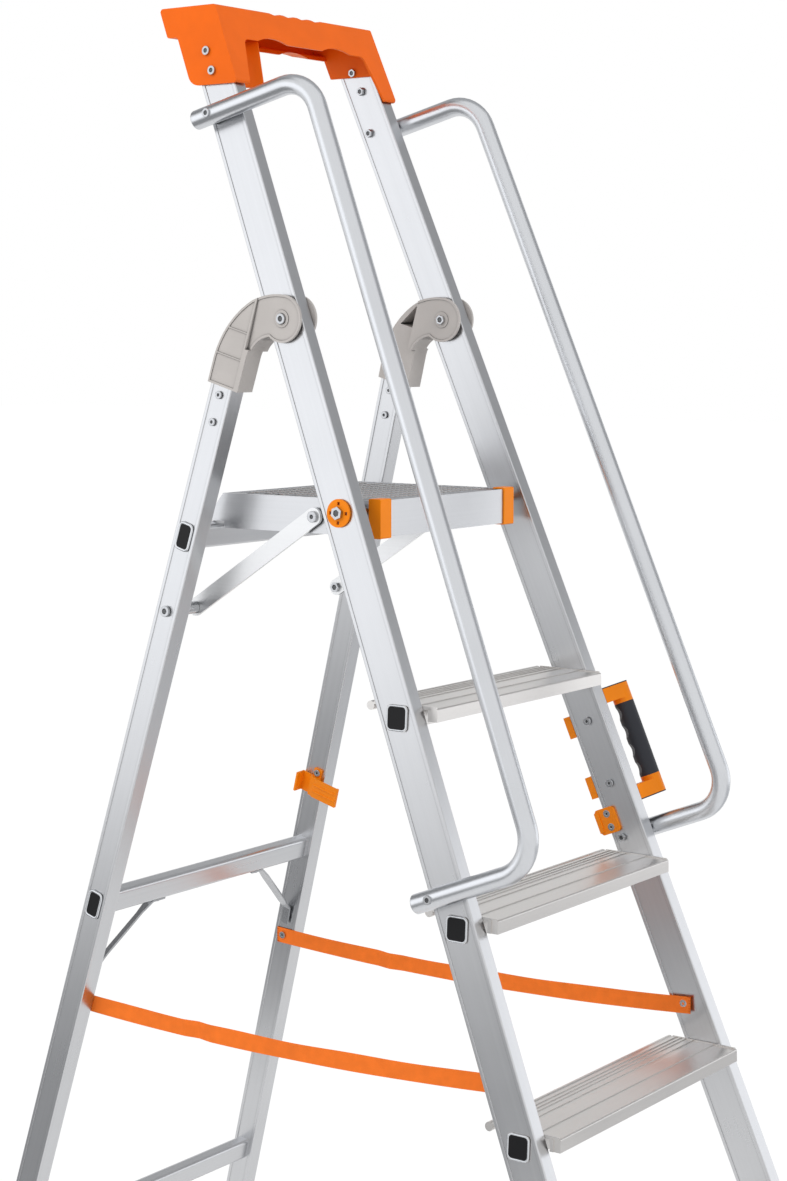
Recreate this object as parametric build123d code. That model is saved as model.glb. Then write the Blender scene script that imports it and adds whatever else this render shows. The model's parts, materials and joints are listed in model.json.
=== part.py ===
from build123d import *
import os
from math import cos, radians, sin, tan

# Folding platform step ladder with two handrails, in millimetres.
# X runs across the ladder, the climber faces +Y, Z is up and the floor is Z = 0.
# The right side is drawn and mirrored to make the left side.

# Whole ladder
TREADS = 4
RISE = 235.0
FRONT_LEAN = 22.0
REAR_LEAN = 15.75
SPLAY = 0.057
HALF_WIDTH = 191.0

# Hollow rails: front stiles and rear legs
STILE_DEPTH = 50.0
STILE_THICK = 20.5
STILE_TOP = 628.0
LEG_DEPTH = 35.0
LEG_THICK = 24.5
LEG_OUT = 6.0
LEG_OFFSET = 66.0
LEG_TOP = 50.0
RAIL_WALL = 1.6
RAIL_ROUND = 1.5
LIP_WIDTH = 5.0
LIP_RISE = 0.8

# Shoes
SHOE_WALL = 3.0
SHOE_HEIGHT = 62.0
SHOE_ROUND = 4.0
SOLE = 12.0
SOLE_GROOVES = 4
SOLE_GROOVE = 3.0
SOLE_GROOVE_PITCH = 12.0

# Treads
TREAD_TOP = 13.0
TREAD_AHEAD = 43.0
TREAD_BEHIND = 60.0
TREAD_PLATE = 2.6
TREAD_NOSE = 17.0
TREAD_RETURN = 9.0
TREAD_BEAD = 5.5
TREAD_RIBS = (-10.0, 20.0, 31.0, 38.0, 45.0)
NOSE_ROUND = 2.0
END_PLATE = 2.2
END_RISE = 0.6
RIB_HEIGHT = 1.0
RIB_WIDTH = 2.0
TUBE_WIDE = 25.0
TUBE_TALL = 26.0
TUBE_WALL = 1.8
TUBE_ROUND = 3.0
RIM_WIDTH = 2.6
RIM_THICK = 1.2
PLUG_LENGTH = 14.0
PLUG_SUNK = 1.5

# Platform
PLATFORM_SIDE = 48.0
PLATFORM_FRONT = 25.0
PLATFORM_REAR = 221.0
PLATFORM_DROP = 31.0
PLATFORM_RAIL = 4.0
DECK_PLATE = 3.0
DECK_RIBS = 22
HOOK_REACH = 19.0
HOOK_TALL = 13.0
NOTCH_GAP = 5.5
SEAT_GAP = 0.4
CAP_SKIN = 2.0
CAP_ALONG = 16.0
CAP_ACROSS = 20.0
PIVOT_SHANK = 5.0
PIVOT_HEAD = 8.0
PIVOT_HEAD_TALL = 4.5
DISC_RADIUS = 17.0
DISC_THICK = 2.4
DISC_HOLES = 4
DISC_HOLE = 4.0
DISC_HOLE_RING = 11.5

# Hinge and linkage
HINGE_ALONG = 248.0
HINGE_AHEAD = 0.5
HINGE_SHANK = 5.0
HINGE_HEAD = 6.5
HINGE_HEAD_TALL = 4.0
HINGE_NUT = 6.5
BUSH_WALL = 2.0
BUSH_FLANGE = 9.0
CHEEK_GAP = 3.0
CHEEK = 3.4
DISC_OF_FORK = 29.0
FORK_LENGTH = 103.5
FORK_FRONT = 37.0
FORK_BACK = 86.5
FORK_SKIN = 3.0
FORK_LINING = 1.5
FORK_RIM = 2.8
FORK_SUNK = 0.9
FORK_BOSS = 10.5
FORK_NECK = 60.0
FORK_CHEEK_LOW = 50.0
FORK_UNDER = 63.0
FORK_OVER = 82.0
FORK_BACK_TALL = 27.0
FORK_SHOULDER = 49.5
FORK_SHOULDER_HIGH = 9.0
FORK_INNER_EDGE = 41.5
FORK_POCKET_LOW = 24.0
FORK_POCKET_BACK = 67.5
FORK_POCKET_HIGH = 5.0
FORK_PANELS = (31.0, 65.0)
FORK_SEAT = 1.2
FORK_RIVETS = (115.3, 150.0)
FORK_GROOVE = 1.6
TONGUE_LENGTH = 112.0
TONGUE_FIT = 0.2
STOP_GAP = 1.2
BRACE_PIN_DROP = 10.0
BRACE_LEG_PIN = 398.0
BRACE_WIDTH = 22.0
BRACE_THICK = 4.0
BRACE_SHANK = 4.0
BRACE_HEAD = 7.0
BRACE_HEAD_TALL = 3.6
BRACE_SPACER = 8.0
RUNNING_FIT = 0.05
SIDE_PLAY = 0.4

# Rear bars and their diagonal strips
BARS = 3
BAR_FIRST = 299.0
BAR_FOOT = 166.2
BAR_WIDE = 19.0
BAR_TALL = 31.0
BAR_ROUND = 5.0
BAR_WALL = 1.6
STRIP_WIDTH = 16.0
STRIP_THICK = 2.2
STRIP_REACH = 88.0
STRIP_DROP = 80.0
STRIP_FIT = 0.15
STRIP_TAB = 24.0

# Handrails
TUBE_DIAMETER = 24.0
TUBE_SKIN = 1.8
RAIL_AHEAD = 141.0
RAIL_BELOW_HEAD = 37.4
RAIL_LOW_BOLT = -467.0
RAIL_TOP_SLOPE = 0.139
RAIL_BEND = 46.0
RAIL_BOLT_BACK = 10.0
RAIL_TAIL = 24.0
SADDLE = 2.0
SADDLE_LENGTH = 18.0
SADDLE_WIDE = 14.0
SADDLE_TALL = 6.0
RAIL_BOLT_SUNK = 1.2
RAIL_CAP_PLUG = 12.0
RAIL_CAP = 2.5
RAIL_CAP_ROUND = 1.5

# Head
HEAD_HIGH = 615.0
HEAD_LOW = 517.0
HEAD_AHEAD = 31.0
HEAD_BEHIND = 38.0
HEAD_OVERHANG = 53.0
HEAD_STEP = 37.0
HEAD_WALL = 3.5
HEAD_ROOF = 6.0
HEAD_ROUND = 18.0
HEAD_EDGE_ROUND = 4.0
FLAP_TOP = 39.5
FLAP_LOW = 25.5
CHEEK_LOW = 551.0
BEAM_DEEP = 40.0
HUMP_RISE = 5.5
HUMP_AT = 65.0
HUMP_HALF = 30.0
OPENING_ROUND = 9.0
GRIP_WAVES = 4
GRIP_PITCH = 28.0
GRIP_RADIUS = 26.0
GRIP_SUNK = 2.5
GRIP_ALONG = 40.0
HEAD_BOLT_HIGH = 603.0
HEAD_BOLT_LOW = 576.5

# Carry handle, on the right stile
HANDLE_TOP = -278.0
HANDLE_LENGTH = 150.0
FOOT_TALL = 25.0
FOOT_ARM = 19.0
FOOT_BASE = 48.0
FOOT_BASE_AHEAD = 10.0
FOOT_BASE_THICK = 5.0
FOOT_TAB = 10.0
FOOT_TAB_TALL = 29.0
GRIP_OUT = 39.0
GRIP_AHEAD = 24.0
HANDLE_RADIUS = 13.0
HANDLE_CORE = 6.0
FINGERS = 4
FINGER_RADIUS = 16.0
FINGER_SUNK = 3.0
FINGER_TURN = 45.0
HANDLE_GRIP = 12.0
HANDLE_SCREW_INSET = 32.5

# Catch plate and latch clip, on the right side
CATCH_TOP = -424.0
CATCH_TALL = 34.0
CATCH_FRONT = 7.6
CATCH_BACK = 36.8
CATCH_THICK = 3.0
CATCH_RIDGE = 1.5
CATCH_RIDGE_WIDE = 5.5
CATCH_ROUND = 4.0
CATCH_RIVET_AT = 19.5
CATCH_RIVET_INSET = 8.0
CATCH_RIVET_SUNK = 1.7
CLIP_BELOW_CATCH = 14.0
CLIP_TALL = 28.0
CLIP_AHEAD = 50.5
CLIP_BEHIND = 17.0
CLIP_FINGER = 14.0
CLIP_FLAT = 5.0
CLIP_STEP = 9.0
CLIP_STAND = 8.5
CLIP_PLATE = 3.0
CLIP_LIP = 1.5
CLIP_TAB_TALL = 12.0
CLIP_TAB_WIDE = 13.0
CLIP_RIBS = 2
CLIP_RIB = 1.4

# Straps
STRAP_TREAD = 3
STRAP_ABOVE_TREAD = 68.8
STRAP_FRONT_BACK = 6.6
STRAP_BELOW_BAR = 141.0
STRAP_WIDTH = 21.0
STRAP_THICK = 1.6
STRAP_SAG = 12.0
STRAP_END = 11.0
STRAP_GAP = 0.3

# Small bolts and rivets
BOLT_HEAD = 5.5
BOLT_HEAD_TALL = 3.2
BOLT_SHANK = 3.0
NUT_RADIUS = 5.6
NUT_TALL = 4.0
RIVET_HEAD = 5.0
RIVET_HEAD_TALL = 2.2
RIVET_SHANK = 2.4

FRONT_TAN = tan(radians(FRONT_LEAN))
FRONT_COS = cos(radians(FRONT_LEAN))
FRONT_SIN = sin(radians(FRONT_LEAN))
REAR_TAN = tan(radians(REAR_LEAN))
REAR_COS = cos(radians(REAR_LEAN))
REAR_SIN = sin(radians(REAR_LEAN))
FOLD = FRONT_LEAN + REAR_LEAN
STILE_RAKE = (1 + FRONT_TAN**2 + SPLAY**2) ** 0.5
LEG_RAKE = (1 + REAR_TAN**2 + SPLAY**2) ** 0.5
FLARE = (1 + SPLAY**2) ** 0.5
PLATFORM_HALF = HALF_WIDTH - PLATFORM_SIDE
RAIL_TOP_BOLT = HEAD_LOW * STILE_RAKE - RAIL_BELOW_HEAD
CLIP_TOP = HINGE_ALONG - CATCH_TOP + CLIP_BELOW_CATCH
STRAP_FRONT = STRAP_TREAD * RISE * STILE_RAKE - STRAP_ABOVE_TREAD

# Side view, measured from the platform pivot: y to the rear, z up
PIVOT_Z = (TREADS + 1) * RISE - TREAD_TOP
HINGE_Y = HINGE_ALONG * FRONT_SIN - HINGE_AHEAD * FRONT_COS
HINGE_Z = HINGE_ALONG * FRONT_COS + HINGE_AHEAD * FRONT_SIN
LEG_Y = HINGE_Y + LEG_OFFSET * REAR_COS
LEG_Z = HINGE_Z + LEG_OFFSET * REAR_SIN
FRONT_REACH = FRONT_TAN * PIVOT_Z + (STILE_DEPTH / 2 + SHOE_WALL) / FRONT_COS
REAR_REACH = LEG_Y + REAR_TAN * (LEG_Z + PIVOT_Z) + (LEG_DEPTH / 2 + SHOE_WALL) / REAR_COS
PIVOT_Y = (FRONT_REACH - REAR_REACH) / 2

LOW = (Align.CENTER, Align.CENTER, Align.MIN)
FAR = 3000.0
nodes = {}


def stile_x(z):
    """Half width over the stiles' outer faces at height z above the pivot."""
    return HALF_WIDTH - SPLAY * z


def side_plane(origin, up):
    """Plane on a rail's outer face: x to the rear, y up the rail, z outward."""
    outward = Vector(1, 0, SPLAY)
    return Plane(origin=origin, x_dir=Vector(up).cross(outward), z_dir=outward)


stile = side_plane((HALF_WIDTH, PIVOT_Y, PIVOT_Z), (-SPLAY, FRONT_TAN, 1))
leg_x = stile_x(LEG_Z) + LEG_OUT * FLARE
leg = side_plane((leg_x, PIVOT_Y + LEG_Y, PIVOT_Z + LEG_Z), (-SPLAY, -REAR_TAN, 1))
hinge = Plane(
    origin=(0, PIVOT_Y + HINGE_Y, PIVOT_Z + HINGE_Z), x_dir=(0, REAR_COS, REAR_SIN), z_dir=(1, 0, 0)
)
pivot = Plane(origin=(0, PIVOT_Y, PIVOT_Z), x_dir=(0, 1, 0), z_dir=(1, 0, 0))


def pivot_point(plane, along):
    """Side-view place, from the platform pivot, of a point on a rail's centreline."""
    place = plane.from_local_coords((0, along, 0))
    return place.Y - PIVOT_Y, place.Z - PIVOT_Z


def slab(plane, sketch, near, far):
    """Solid between two distances along a plane's normal."""
    return extrude(plane.offset(near) * sketch, amount=far - near)


def outline(*points):
    return make_face(Polyline(*points, close=True))


def flat_bar(x0, x1, y0, y1):
    return Pos((x0 + x1) / 2, (y0 + y1) / 2) * Rectangle(x1 - x0, y1 - y0)


def block(x0, x1, y0, y1, z0, z1):
    return Pos((x0 + x1) / 2, (y0 + y1) / 2, (z0 + z1) / 2) * Box(x1 - x0, y1 - y0, z1 - z0)


def space_between(inset):
    """Everything between the stiles' outer faces, moved outward by an inset."""
    low, high = -PIVOT_Z - RISE, HEAD_HIGH + RISE
    half_low, half_high = stile_x(low) + inset * FLARE, stile_x(high) + inset * FLARE
    wedge = outline((-half_low, low), (half_low, low), (half_high, high), (-half_high, high))
    face = Plane(origin=(0, -FAR / 2, PIVOT_Z), x_dir=(1, 0, 0), z_dir=(0, 1, 0))
    return extrude(face * mirror(wedge, about=Plane.XZ), amount=FAR)


def left_of(shape):
    return mirror(shape, about=Plane.YZ)


def both(shape):
    """A shape and its mirror image, as one group."""
    return Compound(children=[*shape.solids(), *left_of(shape).solids()])


def pair(name, shape):
    nodes[name + "_right"] = shape
    nodes[name + "_left"] = left_of(shape)


def group(shapes):
    return Compound(children=[solid for shape in shapes for solid in shape.solids()])


# Rails


def rail_section(depth, thick):
    """Box section with shallow faces between lips, on its centre."""
    shallow = Rectangle(depth - 2 * LIP_WIDTH, LIP_RISE)
    face = (thick - LIP_RISE) / 2
    inside = Rectangle(depth - 2 * RAIL_WALL, thick - 2 * (RAIL_WALL + LIP_RISE))
    solid = RectangleRounded(depth, thick, RAIL_ROUND)
    return solid - Pos(0, face) * shallow - Pos(0, -face) * shallow - inside


def along_rail(plane, section, thick, low, high):
    """Extrudes a section up a rail's plane, with its outer face on that plane."""
    start = Plane(origin=plane.from_local_coords((0, low, 0)), x_dir=plane.x_dir, z_dir=plane.y_dir)
    return extrude(start * Pos(0, thick / 2) * section, amount=high - low)


def above(shape, z):
    return shape - block(-FAR, FAR, -FAR, FAR, z - FAR, z)


stile_foot = -PIVOT_Z * STILE_RAKE
leg_foot = -(PIVOT_Z + LEG_Z) * LEG_RAKE
BAR_PITCH = (-leg_foot - BAR_FOOT - BAR_FIRST) / (BARS - 1)
STRAP_REAR = BAR_FIRST + BAR_PITCH + STRAP_BELOW_BAR
stile_bar = above(
    along_rail(stile, rail_section(STILE_DEPTH, STILE_THICK), STILE_THICK, stile_foot - RISE, STILE_TOP), SOLE
)
leg_bar = above(
    along_rail(leg, rail_section(LEG_DEPTH, LEG_THICK), LEG_THICK, leg_foot - RISE, -LEG_TOP), SOLE
)


def shoe(plane, depth, thick, foot, rail_top):
    """Moulded shoe round the end of a rail, with a grooved sole on the floor."""
    outer = RectangleRounded(depth + 2 * SHOE_WALL, thick + 2 * SHOE_WALL, SHOE_ROUND)
    filled = RectangleRounded(depth, thick, RAIL_ROUND)
    body = above(along_rail(plane, outer, thick, foot - RISE, foot + SHOE_HEIGHT), 0)
    body -= above(along_rail(plane, filled, thick, foot - RISE, rail_top), SOLE)
    centre = plane.from_local_coords((0, foot, 0)).Y
    half = SOLE_GROOVE / 2
    for count in range(SOLE_GROOVES):
        place = centre + (count - (SOLE_GROOVES - 1) / 2) * SOLE_GROOVE_PITCH
        body -= block(-FAR, FAR, place - half, place + half, -SOLE_GROOVE, SOLE_GROOVE)
    return body


pair("front_shoe", shoe(stile, STILE_DEPTH, STILE_THICK, stile_foot, 0))
pair("rear_shoe", shoe(leg, LEG_DEPTH, LEG_THICK, leg_foot, -BAR_FIRST))


# Fasteners, drawn along z with the seat of the head at z = 0


def through_bolt(grip):
    head = Cylinder(BOLT_HEAD, BOLT_HEAD_TALL, align=LOW)
    shank = Pos(0, 0, -grip) * Cylinder(BOLT_SHANK, grip, align=LOW)
    nut = Pos(0, 0, -grip - NUT_TALL) * extrude(RegularPolygon(NUT_RADIUS, 6), NUT_TALL)
    return head + shank + nut


def rivet(grip):
    head = Cylinder(RIVET_HEAD, RIVET_HEAD_TALL, align=LOW)
    shank = Pos(0, 0, -grip) * Cylinder(RIVET_SHANK, grip, align=LOW)
    tail = Pos(0, 0, -grip - RIVET_HEAD_TALL) * Cylinder(RIVET_HEAD, RIVET_HEAD_TALL, align=LOW)
    return head + shank + tail


# Treads

plate_top = TREAD_TOP - RIB_HEIGHT


def tread_profile():
    """Section of a tread, from the centre of its tube: x to the rear, y up."""
    plate = block(-TREAD_AHEAD, TREAD_BEHIND - TREAD_BEAD, plate_top - TREAD_PLATE, plate_top, 0, 1)
    low = TREAD_TOP - TREAD_NOSE
    nose = block(-TREAD_AHEAD, TREAD_PLATE - TREAD_AHEAD, low, plate_top, 0, 1)
    back_lip = block(-TREAD_AHEAD, TREAD_RETURN - TREAD_AHEAD, low, low + TREAD_PLATE, 0, 1)
    section = plate + nose + back_lip
    section += Pos(TREAD_BEHIND - TREAD_BEAD, TREAD_TOP - TREAD_BEAD, 0.5) * Cylinder(TREAD_BEAD, 1)
    section += Pos(0, 0, 0.5) * Box(TUBE_WIDE, TUBE_TALL - 2 * RIB_HEIGHT, 1)
    for place in TREAD_RIBS:
        section += block(place - RIB_WIDTH / 2, place + RIB_WIDTH / 2, plate_top, TREAD_TOP, 0, 1)
    face = section.faces().sort_by(Axis.Z)[-1]
    nose_corner = face.vertices().sort_by_distance((-TREAD_AHEAD, plate_top, 1))[0]
    return face.fillet_2d(NOSE_ROUND, [nose_corner])


inside_rails = space_between(-STILE_THICK)
outside_rails = space_between(0)
tube_outer = RectangleRounded(TUBE_WIDE, TUBE_TALL, TUBE_ROUND)
tube_bore = RectangleRounded(TUBE_WIDE - 2 * TUBE_WALL, TUBE_TALL - 2 * TUBE_WALL, TUBE_ROUND - TUBE_WALL)
tread_rim = RectangleRounded(TUBE_WIDE + 2 * RIM_WIDTH, TUBE_TALL + 2 * RIM_WIDTH, TUBE_ROUND + RIM_WIDTH)
tread_section = Pos(0, 0, -1) * tread_profile()
nose_back = TREAD_RETURN - TREAD_AHEAD
tread_end = flat_bar(TREAD_PLATE - TREAD_AHEAD, nose_back, TREAD_TOP - TREAD_NOSE, plate_top)
tread_end += flat_bar(
    NOSE_ROUND - TREAD_AHEAD, TREAD_BEHIND - 2 * TREAD_BEAD, plate_top - TREAD_PLATE, TREAD_TOP + END_RISE
)
tread_ends_room = space_between(-STILE_THICK - END_PLATE)
tread_plugs = []
for number in range(1, TREADS + 1):
    drop = number * RISE
    centre = Plane(
        origin=(0, PIVOT_Y - FRONT_TAN * drop, PIVOT_Z - drop), x_dir=(0, 1, 0), z_dir=(1, 0, 0)
    )
    along = -drop * STILE_RAKE
    reach = stile_x(-drop) + RISE
    tube = slab(centre, tube_outer, -reach, reach) & outside_rails
    bore = slab(centre, tube_bore, -reach, reach)
    rim = stile * Pos(0, along, 0) * Rot(0, 0, FRONT_LEAN) * extrude(tread_rim, RIM_THICK)
    tread = (slab(centre, tread_section, -reach, reach) & inside_rails) + tube
    tread += (slab(centre, tread_end, -reach, reach) & inside_rails) - tread_ends_room
    tread = tread + rim + left_of(rim) - bore
    nodes[f"tread_{number}"] = tread
    stile_bar -= slab(centre, tube_outer, 0, reach)
    plug = (bore & space_between(-PLUG_SUNK)) - space_between(-PLUG_SUNK - PLUG_LENGTH)
    tread_plugs.append(plug)
nodes["tread_plugs"] = group(tread_plugs)


# Platform

brace_pin_y, brace_pin_z = pivot_point(leg, -BRACE_LEG_PIN)
folded_along = HINGE_ALONG - ((LEG_Z - brace_pin_z) * REAR_COS + (brace_pin_y - LEG_Y) * REAR_SIN)
folded_back = LEG_OFFSET - HINGE_AHEAD
# Crank of the platform that closes the linkage with the platform flat and folded against the stiles
BRACE_PIN_BACK = (
    brace_pin_y**2
    + (brace_pin_z + BRACE_PIN_DROP) ** 2
    - folded_along**2
    - (folded_back - BRACE_PIN_DROP) ** 2
) / (2 * (brace_pin_y - folded_along))
bar_y, bar_z = pivot_point(leg, -BAR_FIRST)
bar_flat_wide = BAR_WIDE / 2 - BAR_ROUND
bar_flat_tall = BAR_TALL / 2 - BAR_ROUND
bar_top = bar_z + bar_flat_tall * REAR_COS + bar_flat_wide * REAR_SIN + BAR_ROUND
bar_front = bar_y - bar_flat_wide * REAR_COS - bar_flat_tall * REAR_SIN - BAR_ROUND
hook_low = bar_top + SEAT_GAP
notch_wall = bar_front - NOTCH_GAP
hook_end = PLATFORM_REAR + HOOK_REACH
deck_top = TREAD_TOP


def platform_rail():
    """Side rail whose rear end hooks over the first crossbar."""
    side = outline(
        (-PLATFORM_FRONT, -PLATFORM_DROP),
        (notch_wall, -PLATFORM_DROP),
        (notch_wall, hook_low),
        (hook_end, hook_low),
        (hook_end, hook_low + HOOK_TALL),
        (PLATFORM_REAR, deck_top),
        (-PLATFORM_FRONT, deck_top),
    )
    return slab(pivot, side, PLATFORM_HALF - PLATFORM_RAIL, PLATFORM_HALF)


def deck():
    """Tray with a ribbed top and turned-down front and rear edges."""
    rear = notch_wall
    section = block(-PLATFORM_FRONT, rear, plate_top - DECK_PLATE, plate_top, 0, 1)
    section += block(-PLATFORM_FRONT, DECK_PLATE - PLATFORM_FRONT, -PLATFORM_DROP, plate_top, 0, 1)
    section += block(rear - DECK_PLATE, rear, hook_low, plate_top, 0, 1)
    pitch = (rear + PLATFORM_FRONT - RIB_WIDTH) / (DECK_RIBS - 1)
    for count in range(DECK_RIBS):
        row = pitch * count - PLATFORM_FRONT
        section += block(row, row + RIB_WIDTH, plate_top, deck_top, 0, 1)
    half = PLATFORM_HALF - PLATFORM_RAIL
    return slab(pivot, Pos(0, 0, -1) * section.faces().sort_by(Axis.Z)[-1], -half, half)


def corner_cap():
    """Moulded cap over a front corner of the platform."""
    skin = CAP_SKIN
    low, high = -PLATFORM_DROP, deck_top
    front, outer = -PLATFORM_FRONT, PLATFORM_HALF
    shell = RectangleRounded(CAP_ALONG + skin, high - low + 2 * skin, skin)
    middle = Pos(front + (CAP_ALONG - skin) / 2, (low + high) / 2)
    cap = slab(pivot, middle * shell, outer - CAP_ACROSS, outer + skin)
    room = middle * Pos(skin, 0) * Rectangle(CAP_ALONG + skin, high - low)
    cap -= slab(pivot, room, outer - CAP_ACROSS - skin, outer)
    return cap


rail_right = platform_rail()
brace_pin = pivot * Pos(BRACE_PIN_BACK, -BRACE_PIN_DROP, 0)
brace_in = PLATFORM_HALF + CAP_SKIN + SIDE_PLAY
brace_out = brace_in + BRACE_THICK
rail_in = PLATFORM_HALF - PLATFORM_RAIL
brace_stud = brace_pin * Pos(0, 0, rail_in) * Cylinder(BRACE_SHANK, PLATFORM_RAIL, align=LOW)
brace_stud += brace_pin * Pos(0, 0, PLATFORM_HALF) * Cylinder(BRACE_SPACER, CAP_SKIN, align=LOW)
brace_stud += brace_pin * Pos(0, 0, rail_in - NUT_TALL) * extrude(RegularPolygon(BRACE_HEAD, 6), NUT_TALL)

disc_slots = PolarLocations(DISC_HOLE_RING, DISC_HOLES) * Rectangle(DISC_HOLE, DISC_HOLE)
nut_in = rail_in - SIDE_PLAY
pivot_shank = slab(pivot, Circle(PIVOT_SHANK), nut_in, stile_x(0))
pivot_head = stile * Pos(0, 0, DISC_THICK) * extrude(RegularPolygon(PIVOT_HEAD, 6), PIVOT_HEAD_TALL)
pivot_neck = stile * Cylinder(PIVOT_SHANK, 2 * DISC_THICK)
pivot_nut = slab(pivot, RegularPolygon(PIVOT_HEAD, 6), nut_in - NUT_TALL, nut_in)
pivot_bolt = pivot_shank + pivot_neck + pivot_head + pivot_nut
pivot_disc = stile * extrude(Rot(0, 0, FRONT_LEAN) * (Circle(DISC_RADIUS) - disc_slots), DISC_THICK)
pivot_disc -= pivot_bolt
pivot_spacer = slab(pivot, Circle(PIVOT_HEAD), PLATFORM_HALF + SIDE_PLAY, stile_x(0)) & inside_rails
pivot_spacer -= pivot_bolt
rail_right -= slab(pivot, Circle(PIVOT_SHANK + RUNNING_FIT), 0, PLATFORM_HALF + RISE)
rail_right -= brace_stud
stile_bar -= pivot_bolt

pair("platform_rail", rail_right)
nodes["platform_deck"] = deck()
pair("platform_cap", corner_cap())
nodes["brace_studs"] = both(brace_stud)
nodes["pivot_bolts"] = both(pivot_bolt)
nodes["pivot_discs"] = both(pivot_disc)
nodes["pivot_spacers"] = both(pivot_spacer)


# Braces


def brace():
    """Flat bar between the platform rail and the rear leg, with round ends."""
    end_y, end_z = brace_pin_y - BRACE_PIN_BACK, brace_pin_z + BRACE_PIN_DROP
    bar = SlotCenterToCenter((end_y**2 + end_z**2) ** 0.5, BRACE_WIDTH)
    turn = Vector(1, 0, 0).get_signed_angle(Vector(end_y, end_z, 0), Vector(0, 0, 1))
    flat = Pos(BRACE_PIN_BACK + end_y / 2, -BRACE_PIN_DROP + end_z / 2) * Rot(0, 0, turn) * bar
    flat -= Pos(BRACE_PIN_BACK, -BRACE_PIN_DROP) * Circle(BRACE_SHANK)
    flat -= Pos(brace_pin_y, brace_pin_z) * Circle(BRACE_SHANK + RUNNING_FIT)
    return slab(pivot, flat, brace_in, brace_out)


pair("brace", brace())
brace_rivet = brace_pin * Pos(0, 0, brace_in) * Cylinder(BRACE_SHANK, BRACE_THICK, align=LOW)
brace_rivet += brace_pin * Pos(0, 0, brace_out) * Cylinder(BRACE_HEAD, BRACE_HEAD_TALL, align=LOW)
pair("brace_rivet", brace_rivet)
leg_end = Pos(brace_pin_y, brace_pin_z)
nut_out = brace_in - SIDE_PLAY
leg_out = leg.from_local_coords((0, -BRACE_LEG_PIN, 0)).X
brace_bolt = slab(pivot, leg_end * Circle(BRACE_SHANK), nut_out, leg_out)
brace_bolt += slab(pivot, leg_end * RegularPolygon(BRACE_HEAD, 6), nut_out - NUT_TALL, nut_out)
brace_bolt += leg * Pos(0, -BRACE_LEG_PIN, 0) * Cylinder(BRACE_HEAD, BRACE_HEAD_TALL, align=LOW)
spacer = slab(pivot, leg_end * Circle(BRACE_SPACER), brace_out + SIDE_PLAY, leg_out)
spacer = spacer - extrude(leg.offset(-LEG_THICK) * Rectangle(FAR, FAR), amount=FAR) - brace_bolt
leg_bar -= brace_bolt
nodes["brace_bolts"] = both(brace_bolt)
nodes["brace_spacers"] = both(spacer)


# Rear bars

bar_outer = RectangleRounded(BAR_WIDE, BAR_TALL, BAR_ROUND)
bar_bore = RectangleRounded(BAR_WIDE - 2 * BAR_WALL, BAR_TALL - 2 * BAR_WALL, BAR_ROUND - BAR_WALL)
bar_rim = RectangleRounded(BAR_WIDE + 2 * RIM_WIDTH, BAR_TALL + 2 * RIM_WIDTH, BAR_ROUND + RIM_WIDTH)
bar_plugs = []
for number in range(1, BARS + 1):
    along = -BAR_FIRST - (number - 1) * BAR_PITCH
    y, z = pivot_point(leg, along)
    centre = Plane(origin=(0, PIVOT_Y + y, PIVOT_Z + z), x_dir=(0, REAR_COS, REAR_SIN), z_dir=(1, 0, 0))
    reach = stile_x(z) + RISE
    bore = slab(centre, bar_bore, -reach, reach)
    rim = leg * Pos(0, along, 0) * extrude(bar_rim, RIM_THICK)
    tube = slab(centre, bar_outer, -reach, reach) & space_between(LEG_OUT)
    nodes[f"rear_bar_{number}"] = tube + rim + left_of(rim) - bore
    leg_bar -= slab(centre, bar_outer, 0, reach)
    plug = (bore & space_between(LEG_OUT - PLUG_SUNK)) - space_between(LEG_OUT - PLUG_SUNK - PLUG_LENGTH)
    bar_plugs.append(plug)
nodes["bar_plugs"] = group(bar_plugs)


def ribbon(points, thick):
    """Bent strip of even thickness, to the right of a run of points."""
    normals = []
    for start, end in zip(points, points[1:]):
        run = (Vector(*end) - Vector(*start)).normalized()
        normals.append(Vector(run.Y, -run.X))
    far_side = []
    for place, before, after in zip(points, normals[:1] + normals, normals + normals[-1:]):
        corner = Vector(*place) + (before + after) * (thick / (1 + before.dot(after)))
        far_side.append((corner.X, corner.Y))
    return outline(*points, *reversed(far_side))


strip_along = -BAR_FIRST - BAR_PITCH
strip_y, strip_z = pivot_point(leg, strip_along)
strip_plane = Plane(
    origin=(0, PIVOT_Y + strip_y, PIVOT_Z + strip_z), x_dir=(1, 0, 0), z_dir=(0, -REAR_COS, -REAR_SIN)
)


def leg_inside(drop):
    """X of a leg's inner face, a drop below the middle bar's centre."""
    return stile_x(strip_z - drop * REAR_COS) + (LEG_OUT - LEG_THICK + LIP_RISE) * FLARE - STRIP_FIT


strip_low = BAR_TALL / 2 + STRIP_DROP
strip_run = [
    (leg_inside(0) - STRIP_REACH - STRIP_TAB, -BAR_TALL / 2),
    (leg_inside(0) - STRIP_REACH, -BAR_TALL / 2),
    (leg_inside(strip_low), -strip_low),
    (leg_inside(strip_low + STRIP_TAB), -strip_low - STRIP_TAB),
]
strip = slab(strip_plane, ribbon(strip_run, STRIP_THICK), -STRIP_WIDTH / 2, STRIP_WIDTH / 2)
strip_low_rivet = leg * Pos(0, strip_along - (strip_low + STRIP_TAB / 2) * LEG_RAKE * REAR_COS, 0)
strip_stack = STRIP_THICK + 2 * STRIP_FIT
strip_low_rivet = strip_low_rivet * Pos(0, 0, LIP_RISE - LEG_THICK - strip_stack) * Rot(180, 0, 0)
strip_low_rivet = strip_low_rivet * rivet(strip_stack + RAIL_WALL)
strip_tab_middle = leg_inside(0) - STRIP_REACH - STRIP_TAB / 2
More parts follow.
